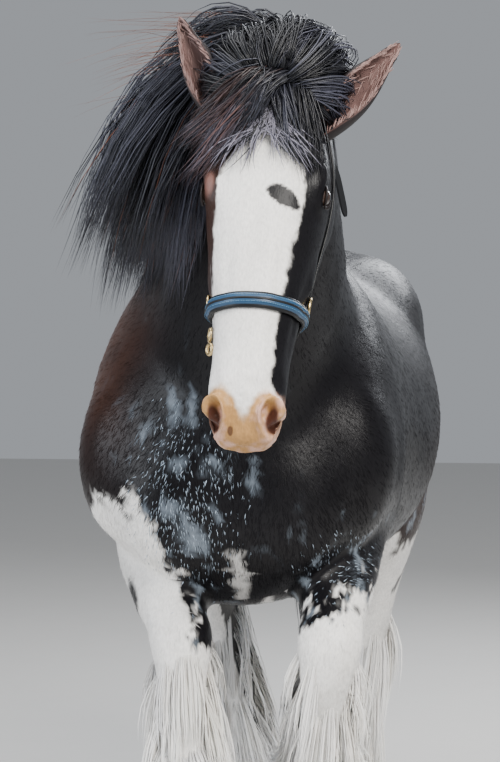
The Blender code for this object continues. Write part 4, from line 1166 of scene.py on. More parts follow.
    def face_places(self, skin: Thing) -> tuple[Points, Points]:
        """Which faces are the head's, and which are its muzzle, eyes and nostrils.

        Args:
            skin: The skin.

        Returns:
            Two rows of yes or no, face by face.
        """
        along, side, up = head_places(rows_of(skin.data.polygons, "center"))
        head = (along > 0.06) & (along < 0.85) & (np.abs(side) < 0.18) & (up > -0.33)
        eyes = (np.abs(along - 0.245) < 0.05) & (np.abs(side) > 0.075) & (np.abs(up + 0.012) < 0.045)
        return head, head & ((along > 0.665) & (up > -0.17) | eyes)

    def choose_faces(self, skin: Thing, chosen: Points) -> None:
        """Opens the skin for editing with some of its faces selected.

        Args:
            skin: The skin.
            chosen: Which of its faces.
        """
        pick(skin)
        bpy.context.tool_settings.mesh_select_mode = (False, False, True)
        bpy.ops.object.mode_set(mode="EDIT")
        bpy.ops.mesh.select_all(action="DESELECT")
        bpy.ops.object.mode_set(mode="OBJECT")
        skin.data.polygons.foreach_set("select", chosen)
        bpy.ops.object.mode_set(mode="EDIT")

    def refine(self, skin: Thing) -> None:
        """Fewer faces on the body, and finer ones on the muzzle and round the eyes.

        Args:
            skin: The skin.
        """
        head, _ = self.face_places(skin)
        self.choose_faces(skin, ~head)
        bpy.ops.mesh.decimate(ratio=self.body_faces / (2 * max(int((~head).sum()), 1)))
        bpy.ops.object.mode_set(mode="OBJECT")
        _, fine = self.face_places(skin)
        self.choose_faces(skin, fine)
        bpy.ops.mesh.subdivide(number_cuts=2)
        bpy.ops.mesh.vertices_smooth(factor=0.5, repeat=6)
        bpy.ops.mesh.select_all(action="SELECT")
        bpy.ops.mesh.quads_convert_to_tris()
        bpy.ops.object.mode_set(mode="OBJECT")

    def carve(self, skin: Thing) -> None:
        """Shapes the finer forms of the face: nostrils, lips, eye hollows, veins and folds.

        Args:
            skin: The skin to shape.
        """
        points = points_of(skin)
        along, side, up = head_places(points)
        normals = rows_of(skin.data.vertices, "normal")
        near = near_head(along, side, up)
        push = np.zeros(len(points))
        out = np.abs(side)
        for (a, s, u), (la, ls, lu), depth in (
            ((0.68, 0.0, -0.02), (0.03, 0.012, 0.02), 0.003),
            ((0.655, 0.062, -0.02), (0.03, 0.014, 0.02), -0.004),
            ((0.245, 0.118, -0.016), (0.024, 0.02, 0.016), -0.01),
            ((0.205, 0.11, 0.012), (0.03, 0.02, 0.008), 0.004),
            ((0.19, 0.08, 0.045), (0.03, 0.014, 0.02), -0.006),
            ((0.43, 0.05, 0.01), (0.11, 0.014, 0.03), -0.003),
            ((0.5, 0.08, -0.05), (0.09, 0.02, 0.012), -0.003),
        ):
            push += depth * bump((along, a, la), (out, s, ls), (up, u, lu))
        mouth = MouthLine.level(along)
        push -= 0.0055 * bump((up, mouth, 0.0042)) * blend_to(0.615, 0.64, along)
        push += 0.002 * bump((up, mouth + 0.013, 0.008)) * blend_to(0.63, 0.66, along)
        push += 0.0012 * layered_noise(points, 0.02, 61) * blend_to(0.6, 0.68, along)
        pit = Nostril.spot(along, side)
        open_face = near & (up > -0.075) & (along > 0.6)
        push += 0.0075 * bump((pit, 1.45, 0.42)) * open_face
        moved = points + normals * (push * near)[:, None]
        ahead, aside, raised = (np.array(axis) for axis in head_axes())
        inward = -0.4 * ahead[None] - 0.5 * np.sign(side)[:, None] * aside[None] - 0.77 * raised[None]
        moved += inward * (0.03 * np.exp(-(pit**3.2)) * open_face)[:, None]
        body = np.where(near, 0.0, 1.0)
        moved += normals * (0.0016 * layered_noise(points, 0.09, 51) * body)[:, None]
        skin.data.vertices.foreach_set("co", moved.ravel())
        skin.data.update()


class MouthLine:
    """The line between the lips."""

    @staticmethod
    def level(along: Points) -> Points:
        """How far out of the face the line lies at each place along the head."""
        return -0.122 + 0.2 * (along - 0.7)


# Hair


class HairCut(NamedTuple):
    """The size of one strand-like lock and how many go to a bundle."""

    wide: float
    thick: float
    spans: int
    bundle: int
    spread: float
    wave: float


HAIR_CUTS = {
    "mane": HairCut(0.0052, 0.0024, 9, 27, 0.03, 0.02),
    "forelock": HairCut(0.004, 0.002, 9, 27, 0.02, 0.014),
    "tail": HairCut(0.0076, 0.0032, 8, 30, 0.028, 0.014),
    "feather": HairCut(0.003, 0.002, 5, 24, 0.026, 0.005),
}


def bezier(ends: Points, count: int) -> Points:
    """Points along many cubic curves.

    Args:
        ends: For each curve its root, two guides and its tip.
        count: How many points on each.

    Returns:
        The points, curve by curve.
    """
    t = np.linspace(0, 1, count)[None, :, None]
    a, b, c, d = (ends[:, i][:, None, :] for i in range(4))
    return a * (1 - t) ** 3 + b * (3 * t * (1 - t) ** 2) + c * (3 * t**2 * (1 - t)) + d * t**3


def lifted(paths: Points, tree: BVHTree, room: float) -> Points:
    """Paths with every point past their roots kept outside a surface, without kinks.

    Args:
        paths: The paths' points.
        tree: The surface.
        room: How far outside it they stay.

    Returns:
        The paths.
    """
    kept = paths.copy()
    for least in (room, 0.3 * room):
        for path in kept:
            for i in range(1, len(path)):
                point = Vector(path[i])
                near, normal, _, _ = tree.find_nearest(point)
                if (point - near).dot(normal) < least:
                    path[i] = near + normal * least
        if least == room and kept.shape[1] > 4:
            for _ in range(2):
                kept[:, 1:-1] = 0.5 * kept[:, 1:-1] + 0.25 * (kept[:, :-2] + kept[:, 2:])
    return kept


def unit(rows: Points) -> Points:
    """Rows made one long."""
    return rows / np.maximum(np.linalg.norm(rows, axis=-1, keepdims=True), 1e-9)


def square_to(flats: Points, run: Points) -> Points:
    """The part of each lock's flat direction that is square to its run, point by point."""
    wide = flats[:, None, :]
    return unit(wide - run * np.sum(wide * run, axis=-1, keepdims=True))


@dataclass
class Coat:
    """Locks of hair as thin closed tapered solids, joined into pieces."""

    finish: Finish
    limit: int = 190000
    patch: float = 0.003

    def pieces(
        self, name: str, paths: Points, widths: Points, thick: float, flats: Points, tints: Points
    ) -> list[Thing]:
        """Builds the locks.

        Args:
            name: The pieces' name.
            paths: Each lock's points.
            widths: Each lock's width.
            thick: Thickness over width.
            flats: The direction that each lock's flat side faces.
            tints: Each lock's colours, point by point.

        Returns:
            The pieces, each under the limit of faces.
        """
        count = paths.shape[1]
        each = (count - 2) * 6 + 4
        share = self.limit // each
        made = []
        for number, start in enumerate(range(0, len(paths), share)):
            part = slice(start, start + share)
            label = name if len(paths) <= share else f"{name}_{number + 1}"
            made.append(self.piece(label, paths[part], widths[part], thick, flats[part], tints[part]))
        return made

    def piece(
        self, name: str, paths: Points, widths: Points, thick: float, flats: Points, tints: Points
    ) -> Thing:
        """One joined mesh of locks, with the map that they are baked on.

        Args:
            name: The object's name.
            paths: Each lock's points.
            widths: Each lock's width.
            thick: Thickness over width.
            flats: The direction that each lock's flat side faces.
            tints: Each lock's colours, point by point.

        Returns:
            The mesh.
        """
        total, count, _ = paths.shape
        run = unit(np.gradient(paths, axis=1))
        out = square_to(flats, run)
        side = np.cross(out, run)
        t = np.linspace(0, 1, count)
        swell, taper = 0.75 + 0.25 * np.sin(np.pi / 2 * t / 0.55), 1 - ((t - 0.55) / 0.45) ** 1.4
        full = np.where(t < 0.55, swell, taper)
        corners = []
        for angle in (90, 210, 330):
            c, s = math.cos(math.radians(angle)), math.sin(math.radians(angle))
            reach = (widths[:, None] * full[None, :] / 2)[:, :, None]
            corners.append(paths + (side * c * 1.15 + out * s * thick) * reach)
        rings = np.stack(corners, axis=2)[:, :-1].reshape(total, (count - 1) * 3, 3)
        points = np.concatenate([rings, paths[:, -1:]], axis=1)
        stride = points.shape[1]
        pattern = []
        for i in range(count - 2):
            for j in range(3):
                k = (j + 1) % 3
                low, high = i * 3, i * 3 + 3
                pattern += [(low + j, low + k, high + k), (low + j, high + k, high + j)]
        last = (count - 2) * 3
        pattern += [(last + j, last + (j + 1) % 3, last + 3) for j in range(3)]
        pattern.append((2, 1, 0))
        faces = (np.array(pattern)[None] + (np.arange(total) * stride)[:, None, None]).reshape(-1, 3)
        made = new_object(name, points.reshape(-1, 3), faces)
        made.data.validate()
        ring_tints = np.repeat(tints[:, :-1], 3, axis=1)
        colour_points(made, np.concatenate([ring_tints, tints[:, -1:]], axis=1).reshape(-1, 3))
        across = np.concatenate([np.tile([0.0, 0.5, 1.0], count - 1), [0.5]])
        down = np.concatenate([np.repeat(np.linspace(0, 1, count)[:-1], 3), [1.0]])
        spots = np.stack([across, down], axis=1)[None] * self.patch + Unwrap.place(paths[:, 0])[:, None, :]
        layer = made.data.uv_layers.new(name="OFBake")
        order = np.empty(len(made.data.loops), int)
        made.data.loops.foreach_get("vertex_index", order)
        layer.data.foreach_set("uv", spots.reshape(-1, 2)[order].ravel())
        return self.finish.dress(made)


class Unwrap:
    """A flat layout of the skin: the head, neck, trunk and each leg rolled out in cells of their own."""

    @staticmethod
    def place(points: Points) -> Points:
        """Where points of the skin lie on the layout.

        Args:
            points: Rows of x, y, z.

        Returns:
            Rows of u and v.
        """
        x, y, z = points.T
        along, side, up = head_places(points)
        made = np.zeros((len(points), 2))
        head = (along > -0.05) & (along < 0.82) & (np.abs(side) < 0.2) & (up > -0.34)
        leg = (z < 0.95) & ~head
        neck = (y < -0.42) & (z > 1.42 + 0.4 * (y + 0.9)) & ~head & ~leg
        trunk = ~(head | leg | neck)
        turn = np.arctan2(x, z - 1.3) / (2 * np.pi) + 0.5
        made[trunk] = np.stack([0.6 * blend_flat(y, -1.0, 1.2), 0.45 * turn], axis=1)[trunk]
        turn = np.arctan2(x - 0.08, z - 1.75) / (2 * np.pi) + 0.5
        made[neck] = np.stack([0.62 + 0.36 * blend_flat(y, -1.4, -0.4), 0.2 * turn], axis=1)[neck]
        turn = np.arctan2(side, up + 0.09) / (2 * np.pi) + 0.5
        made[head] = np.stack(
            [0.62 + 0.36 * blend_flat(along, -0.05, 0.82), 0.22 + 0.23 * turn], axis=1
        )[head]
        number = (x > 0.05) * 1 + (y > 0) * 2
        middle = np.array([[-0.1, -0.9], [0.2, -0.8], [-0.19, 0.62], [0.17, 0.5]])[number]
        turn = np.arctan2(x - middle[:, 0], y - middle[:, 1]) / (2 * np.pi) + 0.5
        made[leg] = np.stack(
            [0.98 * blend_flat(z, 0.0, 0.95), 0.48 + 0.12 * number + 0.115 * turn], axis=1
        )[leg]
        return made * 0.99 + 0.002


def blend_flat(values: Points, low: float, high: float) -> Points:
    """Values as shares of a range, kept inside it."""
    return np.clip((values - low) / (high - low), 0, 1)


@dataclass
class Bundles:
    """Turns guide curves into bundles of waving locks."""

    cut: HairCut
    rng: np.random.Generator

    def grow(self, guides: Points, flats: Points) -> tuple[Points, Points, Points, Points]:
        """Locks round each guide.

        Args:
            guides: Each guide's points.
            flats: The way each guide's flat side faces.

        Returns:
            The locks' paths, widths, flat directions and the guide that each belongs to.
        """
        total, count, _ = guides.shape
        many = self.cut.bundle
        owner = np.repeat(np.arange(total), many)
        paths = guides[owner].copy()
        run = unit(np.gradient(paths, axis=1))
        out = square_to(flats[owner], run)
        side = np.cross(run, out)
        size = len(owner)
        angle, radius = self.rng.uniform(0, 2 * np.pi, size), np.sqrt(self.rng.uniform(0, 1, size))
        t = np.linspace(0, 1, count)[None, :]
        spread = self.cut.spread * (0.55 + 0.75 * np.sin(np.pi * np.clip(t * 0.85, 0, 1)))
        lean = 1 + 0.35 * self.rng.normal(0, 1, (size, 1)) * t
        across = np.cos(angle)[:, None] * radius[:, None] * spread * lean
        deep = np.sin(angle)[:, None] * radius[:, None] * spread * 0.55 * lean
        phase = self.rng.uniform(0, 2 * np.pi, total)[owner] + self.rng.normal(0, 0.5, size)
        turns = self.rng.uniform(0.5, 1.25, total)[owner]
        swing = self.cut.wave * t * np.sin(phase[:, None] + 2 * np.pi * turns[:, None] * t)
        paths = paths + side * (across + swing)[:, :, None] + out * (deep + 0.5 * swing)[:, :, None]
        shorter = self.rng.uniform(0.8, 1.06, size)[:, None, None]
        paths = paths[:, :1] + (paths - paths[:, :1]) * shorter
        widths = self.cut.wide * self.rng.uniform(0.6, 1.15, size)
        turn = self.rng.normal(0, 0.45, (size, 3))
        return paths, widths, unit(flats[owner] + turn), owner


def strand_tints(
    base: Points, spans: int, rng: np.random.Generator, depth: float = 0.25, spread: float = 0.25
) -> Points:
    """Colours down each lock: a little darker at the root, each lock its own shade.

    Args:
        base: Each lock's own colour.
        spans: How many points each lock has.
        rng: The source of chance.
        depth: How much darker the roots are.
        spread: How much the locks differ.

    Returns:
        The colours, lock by lock and point by point.
    """
    shade = np.linspace(1 - depth, 1 + depth * 0.5, spans)[None, :, None]
    own = rng.uniform(1 - spread, 1 + spread, (len(base), 1, 1))
    return np.clip(base[:, None, :] * shade * own, 0.002, 0.95)


def soften_shading(piece: Thing, out: Points, each: int, own_share: float) -> Thing:
    """Turns the shading of fine hair to the form that it covers, so that it reads as one soft mass.

    Args:
        piece: Joined hairs.
        out: The form's normal at each hair.
        each: The points in one hair.
        own_share: How much of the hair's own shape stays in its shading.

    Returns:
        The same piece.
    """
    rows = np.repeat(out, each, axis=0) + own_share * rows_of(piece.data.vertices, "normal")
    piece.data.normals_split_custom_set_from_vertices(unit(rows).tolist())
    return piece


@dataclass
class LongHair:
    """Mane, forelock, tail and feather."""

    body: Body
    tree: BVHTree
    markings: Markings
    mane_guides: int = 190
    crown_guides: int = 34
    forelock_guides: int = 70
    dome_guides: int = 74
    tail_guides: int = 96
    feather_guides: int = 262

    def crest(self, count: int) -> Points:
        """Points along the top of the neck, from the withers to the poll.

        Args:
            count: How many points.

        Returns:
            The points.
        """
        rings = between(self.body.neck_rings()[1:], 6)
        tops = np.array([ring.centre + ring.up_axis * ring.up for ring in rings])
        spots = np.linspace(0, len(tops) - 1, count)
        return np.stack([np.interp(spots, np.arange(len(tops)), tops[:, i]) for i in range(3)], axis=1)

    def mane(self) -> list[Thing]:
        """Hair from the crest, blown up and over to the right, some of it falling down the neck.

        Returns:
            The pieces.
        """
        rng = np.random.default_rng(31)
        cut = HAIR_CUTS["mane"]
        sweeps = [
            ((-0.1, 0.13), (-0.34, 0.04), (-0.43, -0.33)),
            ((-0.09, 0.09), (-0.31, -0.06), (-0.36, -0.47)),
            ((-0.07, 0.04), (-0.21, -0.14), (-0.23, -0.47)),
        ]
        line, ends, flats = self.crest(200), [], []
        for i in range(self.mane_guides):
            t = (i + rng.uniform(0, 1)) / self.mane_guides
            root = line[int(t * 199)] + rng.normal(0, 0.006, 3)
            reach = (0.6 + 0.42 * math.sin(math.pi * min(t, 0.9) / 1.8)) * rng.uniform(0.8, 1.06)
            kind = sweeps[i % 3]
            drift, mix = rng.uniform(-0.07, 0.13), rng.uniform(-0.25, 0.6)
            curl = rng.normal(0, 0.035, 3)
            row = [root]
            for step, (aside, rise) in enumerate(kind):
                other = sweeps[(i + 1) % 3][step]
                aside += (other[0] - aside) * max(mix, 0)
                rise += (other[1] - rise) * max(mix, 0)
                bend = drift * (step + 1) / 3 + rng.normal(0, 0.02)
                lift = rise * reach + (curl[step] if step < 2 else -0.4 * curl[1])
                row.append(root + np.array([aside * reach + rng.normal(0, 0.016), bend, lift]))
            ends.append(row)
            flats.append([rng.normal(-0.35, 0.3), rng.normal(-0.4, 0.4), 1.0])
        for i in range(self.crown_guides):
            root = line[int(199 - 34 * rng.uniform(0, 1))] + rng.normal(0, 0.01, 3)
            aside = rng.uniform(-0.27, 0.13)
            rise = rng.uniform(0.05, 0.125)
            tip = rng.uniform(-0.04, 0.04)
            row = [
                root, root + [aside * 0.2, -0.02, rise], root + [aside * 0.8, -0.02, rise],
                root + [aside, 0.02, tip],
            ]
            ends.append(row)
            flats.append([aside * 3, rng.normal(0, 0.3), 0.6])
        guides = bezier(np.array(ends), cut.spans)
        paths, widths, faces, _ = Bundles(cut, rng).grow(guides, unit(np.array(flats)))
        paths = lifted(paths, self.tree, 0.003)
        tips = paths[:, -1]
        # Painted sheen: blue-grey mixed into the black stands in for light glancing off the mane, in
        # patches, on some low tips and most on the hair high on the crest.
        painted_sheen = blend_to(0.2, 0.9, layered_noise(tips, 0.09, 5)) * 0.35
        painted_sheen += 0.5 * blend_to(1.78, 1.68, tips[:, 2]) * blend_to(-0.16, -0.08, tips[:, 0])
        high = blend_to(1.86, 2.05, paths[:, 4, 2])
        painted_sheen += 0.35 * high * blend_to(-0.2, 0.6, layered_noise(paths[:, 4], 0.07, 15))
        painted_sheen = np.clip(painted_sheen, 0, 0.85)
        rust = blend_to(0.975, 0.999, rng.uniform(0, 1, len(paths)))
        base = mixed(mixed(np.array(BLACK_HAIR), PAINTED_SHEEN_HAIR, painted_sheen), RUST_HAIR, rust)
        tints = strand_tints(base, cut.spans, rng)
        return Coat(LONG_HAIR).pieces("mane_hair", paths, widths, cut.thick / cut.wide, faces, tints)

    def forelock(self) -> list[Thing]:
        """Hair from the poll over the forehead, swept mostly to the right.

        Returns:
            The pieces.
        """
        rng = np.random.default_rng(17)
        cut = HAIR_CUTS["forelock"]
        _, side, up = head_axes()
        ends, flats = [], []
        for i in range(self.forelock_guides):
            t = rng.uniform(0, 1)
            if i % 10 < 7:
                root = (rng.uniform(-0.01, 0.03), 0.018 + rng.normal(0, 0.016), 0.055)
                low = 0.172 + 0.115 * t
                tip = (
                    rng.uniform(0.05, 1.0) * low, -0.02 - 0.165 * t - rng.uniform(0, 0.02), 0.06 - 0.07 * t
                )
                rise = rng.uniform(0.095, 0.15)
                row = [
                    root, (0.035, root[1] - 0.015, rise),
                    (0.55 * tip[0] + 0.03, 0.45 * tip[1], rise - 0.005), tip,
                ]
                face = up - side * rng.uniform(0.0, 0.8)
            else:
                root = (rng.uniform(-0.01, 0.03), 0.022 + rng.normal(0, 0.01), 0.055)
                tip = (0.165 + 0.085 * t + rng.normal(0, 0.01), 0.03 + 0.085 * t, 0.06 - 0.06 * t)
                rise = rng.uniform(0.08, 0.115)
                row = [root, (0.03, root[1] + 0.01, rise), (0.09, 0.75 * tip[1], rise - 0.01), tip]
                face = up + side * rng.uniform(0.0, 0.8)
            ends.append([on_head(p) for p in row])
            flats.append(face)
        guides = bezier(np.array([[list(p) for p in row] for row in ends]), cut.spans)
        dome, faces = self.dome(rng, cut.spans)
        guides = np.concatenate([guides, dome])
        flats += [Vector(face) for face in faces]
        flats = unit(np.array([list(face) for face in flats]))
        paths, widths, faces, _ = Bundles(cut, rng).grow(guides, flats)
        paths = lifted(paths, self.tree, 0.0025)
        # Painted sheen: patches of blue-grey mixed into the black stand in for light glancing off the
        # forelock.
        painted_sheen = blend_to(-0.1, 0.8, layered_noise(paths[:, 3], 0.05, 8)) * 0.6
        tip = paths[:, -1]
        warm = blend_to(0.06, -0.02, tip[:, 0]) * blend_to(2.0, 1.9, tip[:, 2])
        warm = warm * rng.uniform(0, 0.45, len(tip))
        base = mixed(mixed(np.array(BLACK_HAIR), PAINTED_SHEEN_HAIR, painted_sheen), RUST_HAIR, warm)
        tints = strand_tints(base, cut.spans, rng)
        return self.veil() + Coat(LONG_HAIR).pieces(
            "forelock_hair", paths, widths, cut.thick / cut.wide, faces, tints
        )

    def veil(self) -> list[Thing]:
        """Thin pale and dark hairs over the top of the blaze.

        Returns:
            The pieces.
        """
        rng = np.random.default_rng(23)
        ends, tones = [], []
        for i in range(150):
            hand = 1 if rng.uniform() < 0.35 else -1
            start, low = rng.uniform(0.06, 0.145), rng.uniform(0.15, 0.245)
            wide = hand * rng.uniform(0.01, 0.12)
            bow = rng.normal(0, 0.012)
            row = [(start, 0.01 + rng.normal(0, 0.022), 0.072), (start + 0.02, 0.3 * wide + bow, 0.08)]
            row += [(0.6 * low + 0.07, 0.8 * wide + bow, 0.074), (low, wide, 0.062 - 0.2 * abs(wide))]
            ends.append([list(on_head(p)) for p in row])
            tones.append(
                np.array(WISP_HAIR) * rng.uniform(0.5, 1.2) if i % 4 else np.array(BLACK_HAIR)
            )
        paths = lifted(bezier(np.array(ends), 9), self.tree, 0.0016)
        _, _, up = head_axes()
        faces = np.repeat(np.array([list(up)]), len(paths), axis=0)
        tints = strand_tints(np.array(tones), 9, rng)
        widths = rng.uniform(0.0012, 0.0026, len(paths))
        return Coat(LONG_HAIR).pieces("forelock_wisps", paths, widths, 0.45, faces, tints)

    def dome(self, rng: np.random.Generator, spans: int) -> tuple[Points, Points]:
        """Hair that parts at a whorl before the poll and rolls up and over between the ears.

        Args:
            rng: The source of chance.
            spans: How many points each guide has.

        Returns:
            The guides and the way that their flat sides face.
        """
        middle, size = np.array([0.157, -1.265, 2.05]), np.array([0.15, 0.115, 0.128])
        guides, flats = [], []
        for i in range(self.dome_guides):
            heading = math.radians(-30 + 245 * (i + rng.uniform(0, 1)) / self.dome_guides)
            stop = math.radians(rng.uniform(85, 150))
            swirl = rng.normal(0, 0.3)
            turn = np.linspace(math.radians(rng.uniform(4, 26)), stop, spans)
            here = heading + swirl * (turn - turn[0])
            full = rng.uniform(0.86, 1.03) + rng.normal(0, 0.05) * np.sin(2.5 * turn)
            across, rise, ahead = np.sin(turn) * np.cos(here), np.sin(turn) * np.sin(here), np.cos(turn)
            rise = rise + 0.12 * np.sin(turn) ** 2 - 0.2 * ahead
            way = np.stack([across, -ahead, rise], axis=1)
            path = middle + way * size * full[:, None]
            path[:, 2] -= 0.05 * (turn / stop) ** 3
            guides.append(path)
            flats.append(way[spans // 2])
        return np.array(guides), unit(np.array(flats))

    def flyaways(self) -> list[Thing]:
        """Single loose hairs that stand off the mane, reddish where light comes through them.

        Returns:
            The pieces.
        """
        rng = np.random.default_rng(77)
        line, ends = self.crest(200), []
        for _ in range(190):
            root = line[int(rng.uniform(60, 199))] + rng.normal(0, 0.02, 3)
            aside, rise = -rng.uniform(0.05, 0.42), rng.uniform(-0.1, 0.15)
            row = [root, root + [0.25 * aside, rng.normal(0, 0.03), 0.07 + 0.4 * rise]]
            row += [
                root + [0.7 * aside, rng.normal(0, 0.05), 0.06 + rise],
                root + [aside, rng.normal(0, 0.06), rise],
            ]
            ends.append(row)
        paths = bezier(np.array(ends), 12)
        wave = 0.008 * np.sin(np.linspace(0, 9, 12)[None] + rng.uniform(0, 6, (len(paths), 1)))
        paths[:, :, 2] += wave * np.linspace(0, 1, 12)
        paths = lifted(paths, self.tree, 0.003)
        paths[:, :, 2] = np.minimum(paths[:, :, 2], 2.195)
        tints = strand_tints(np.repeat(np.array([RUST_HAIR]) * 0.8, len(paths), axis=0), 12, rng)
        faces = unit(rng.normal(0, 1, (len(paths), 3)))
        return Coat(LONG_HAIR).pieces(
            "mane_flyaways", paths, rng.uniform(0.0008, 0.0015, len(paths)), 0.8, faces, tints
        )

    def tail(self) -> list[Thing]:
        """Hair from all round the dock, falling to a point.

        Returns:
            The pieces.
        """
        rng = np.random.default_rng(5)
        cut = HAIR_CUTS["tail"]
        stations = [
            (0.8, 1.6, 0.03),
            (0.9, 1.625, 0.04),
            (1.0, 1.6, 0.055),
            (1.09, 1.5, 0.078),
            (1.14, 1.34, 0.095),
            (1.15, 1.14, 0.1),
            (1.13, 0.92, 0.085),
            (1.1, 0.72, 0.06),
            (1.09, 0.56, 0.03),
        ]
        route = through(stations, 4)
        number = np.arange(len(route))
        steps, guides, flats = np.linspace(0, 1, cut.spans), [], []
        for i in range(self.tail_guides):
            start = 2.5 + 12.0 * ((i * 7) % self.tail_guides) / self.tail_guides
            stop = rng.uniform(25, 32) if start > 6 else rng.uniform(18, 28)
            angle = 2.4 * i + rng.normal(0, 0.2)
            here = angle + rng.normal(0, 0.3) * steps
            spots = start + (stop - start) * steps
            y, z, full = (np.interp(spots, number, route[:, k]) for k in range(3))
            run = np.stack([np.zeros(cut.spans), np.gradient(y), np.gradient(z)], axis=1)
            up = unit(np.cross(np.array([1.0, 0, 0]), run))
            way = np.array([1.0, 0, 0]) * np.cos(here)[:, None] + up * np.sin(here)[:, None]
            out = rng.uniform(0.35, 1.15) * full * np.minimum(0.25 + 2.4 * steps, 1) * (1 - 0.35 * steps)
            guides.append(np.stack([np.zeros(cut.spans), y, z], axis=1) + way * out[:, None])
            flats.append(way[2])
        paths, widths, faces, _ = Bundles(cut, rng).grow(np.array(guides), unit(np.array(flats)))
        paths = lifted(paths, self.tree, 0.004)
        # Painted sheen: patches of blue-grey mixed into the black stand in for light glancing off the tail.
        painted_sheen = blend_to(0.2, 0.9, layered_noise(paths[:, 4], 0.12, 18)) * 0.25
        tints = strand_tints(mixed(np.array(BLACK_HAIR), PAINTED_SHEEN_HAIR, painted_sheen), cut.spans, rng)
        return Coat(LONG_HAIR).pieces("tail_hair", paths, widths, cut.thick / cut.wide, faces, tints)

    def feather(self, leg: str, hoof: "Hoof") -> list[Thing]:
        """Hair from the cannon, fetlock and pastern of one leg, hanging over its hoof.

        Args:
            leg: The leg.
            hoof: Its hoof.

        Returns:
            The pieces.
        """
        rng = np.random.default_rng(sum(ord(letter) for letter in leg))
        cut = HAIR_CUTS["feather"]
        rings = [*self.body.leg_rings(leg)[-32:], *hoof.cover_rings()]
        last, guides, flats = len(rings) - 1, [], []
        steps = np.linspace(0, 1, cut.spans)
        for i in range(self.feather_guides):
            angle = rng.uniform(-math.pi, math.pi)
            if i % 3 == 0:
                angle = math.pi + rng.normal(0, 0.8)
            back = 0.5 - 0.5 * math.cos(angle)
            start = rng.uniform(16.0, 27.0) - 2.5 * back
            if i % 9 < 4:
                start = rng.uniform(2.0, 18.0) + 3.5 * (1 - back)
            stop = min(start + rng.uniform(7.5, 11.5), last - 1.6 + 1.4 * back + rng.uniform(-0.8, 0.2))
            stand = (0.022 + 0.036 * back) * rng.uniform(0.4, 1.25)
            path, flat = [], Vector((0, 0, 1))
            for t in steps:
                place = min(start + (stop - start) * t, last - 0.01)
                ring, after = rings[int(place)], rings[int(place) + 1]
                middle = ring.centre.lerp(after.centre, place - int(place))
                deep = math.cos(angle) * (ring.up if math.cos(angle) > 0 else ring.down)
                way = ring.side_axis * (math.sin(angle) * ring.wide) + ring.up_axis * deep
                spot = middle + way * (0.8 + 0.2 * min(3 * t, 1)) + way.normalized() * (
                    stand * math.sin(2.0 * t)
                )
                spot.z = max(spot.z, PLATE_TOP + 0.01)
                path.append(list(spot))
                flat = way
            guides.append(path)
            flats.append(list(flat))
        paths, widths, faces, owner = Bundles(cut, rng).grow(np.array(guides), unit(np.array(flats)))
        paths = lifted(paths, self.tree, 0.0015)
        paths = lifted(paths, hoof.tree(), 0.002)
        paths[:, :, 2] = np.maximum(paths[:, :, 2], PLATE_TOP + 0.004)
        colours = self.markings.colours(paths[:, 0])
        white = (colours.mean(axis=1) > 0.3) | (
            rng.uniform(0, 1, len(paths)) > 0.15
        ) | (paths[:, 0, 2] < 0.45)
        base = np.where(white[:, None], np.array(CREAM_HAIR)[None], np.maximum(colours, 0.02))
        warm = np.clip(0.04 * layered_noise(paths[:, 2], 0.08, 12), -0.05, 0.05)
        base = np.clip(base * (1 + np.stack([warm, warm * 0.5, -warm * 0.6], axis=1)), 0, 0.95)
        tints = np.minimum(strand_tints(base, cut.spans, rng, 0.06, 0.08), 0.9)
        made = Coat(FEATHER_HAIR).pieces(
            f"{leg}_feather", paths, widths, cut.thick / cut.wide, faces, tints
        )
        light = unit(0.45 * unit(np.array(flats))[owner] + np.array([0.0, -0.15, 0.75]))
        for piece in made:
            soften_shading(piece, light, 3 * cut.spans - 2, 0.85)
        return made


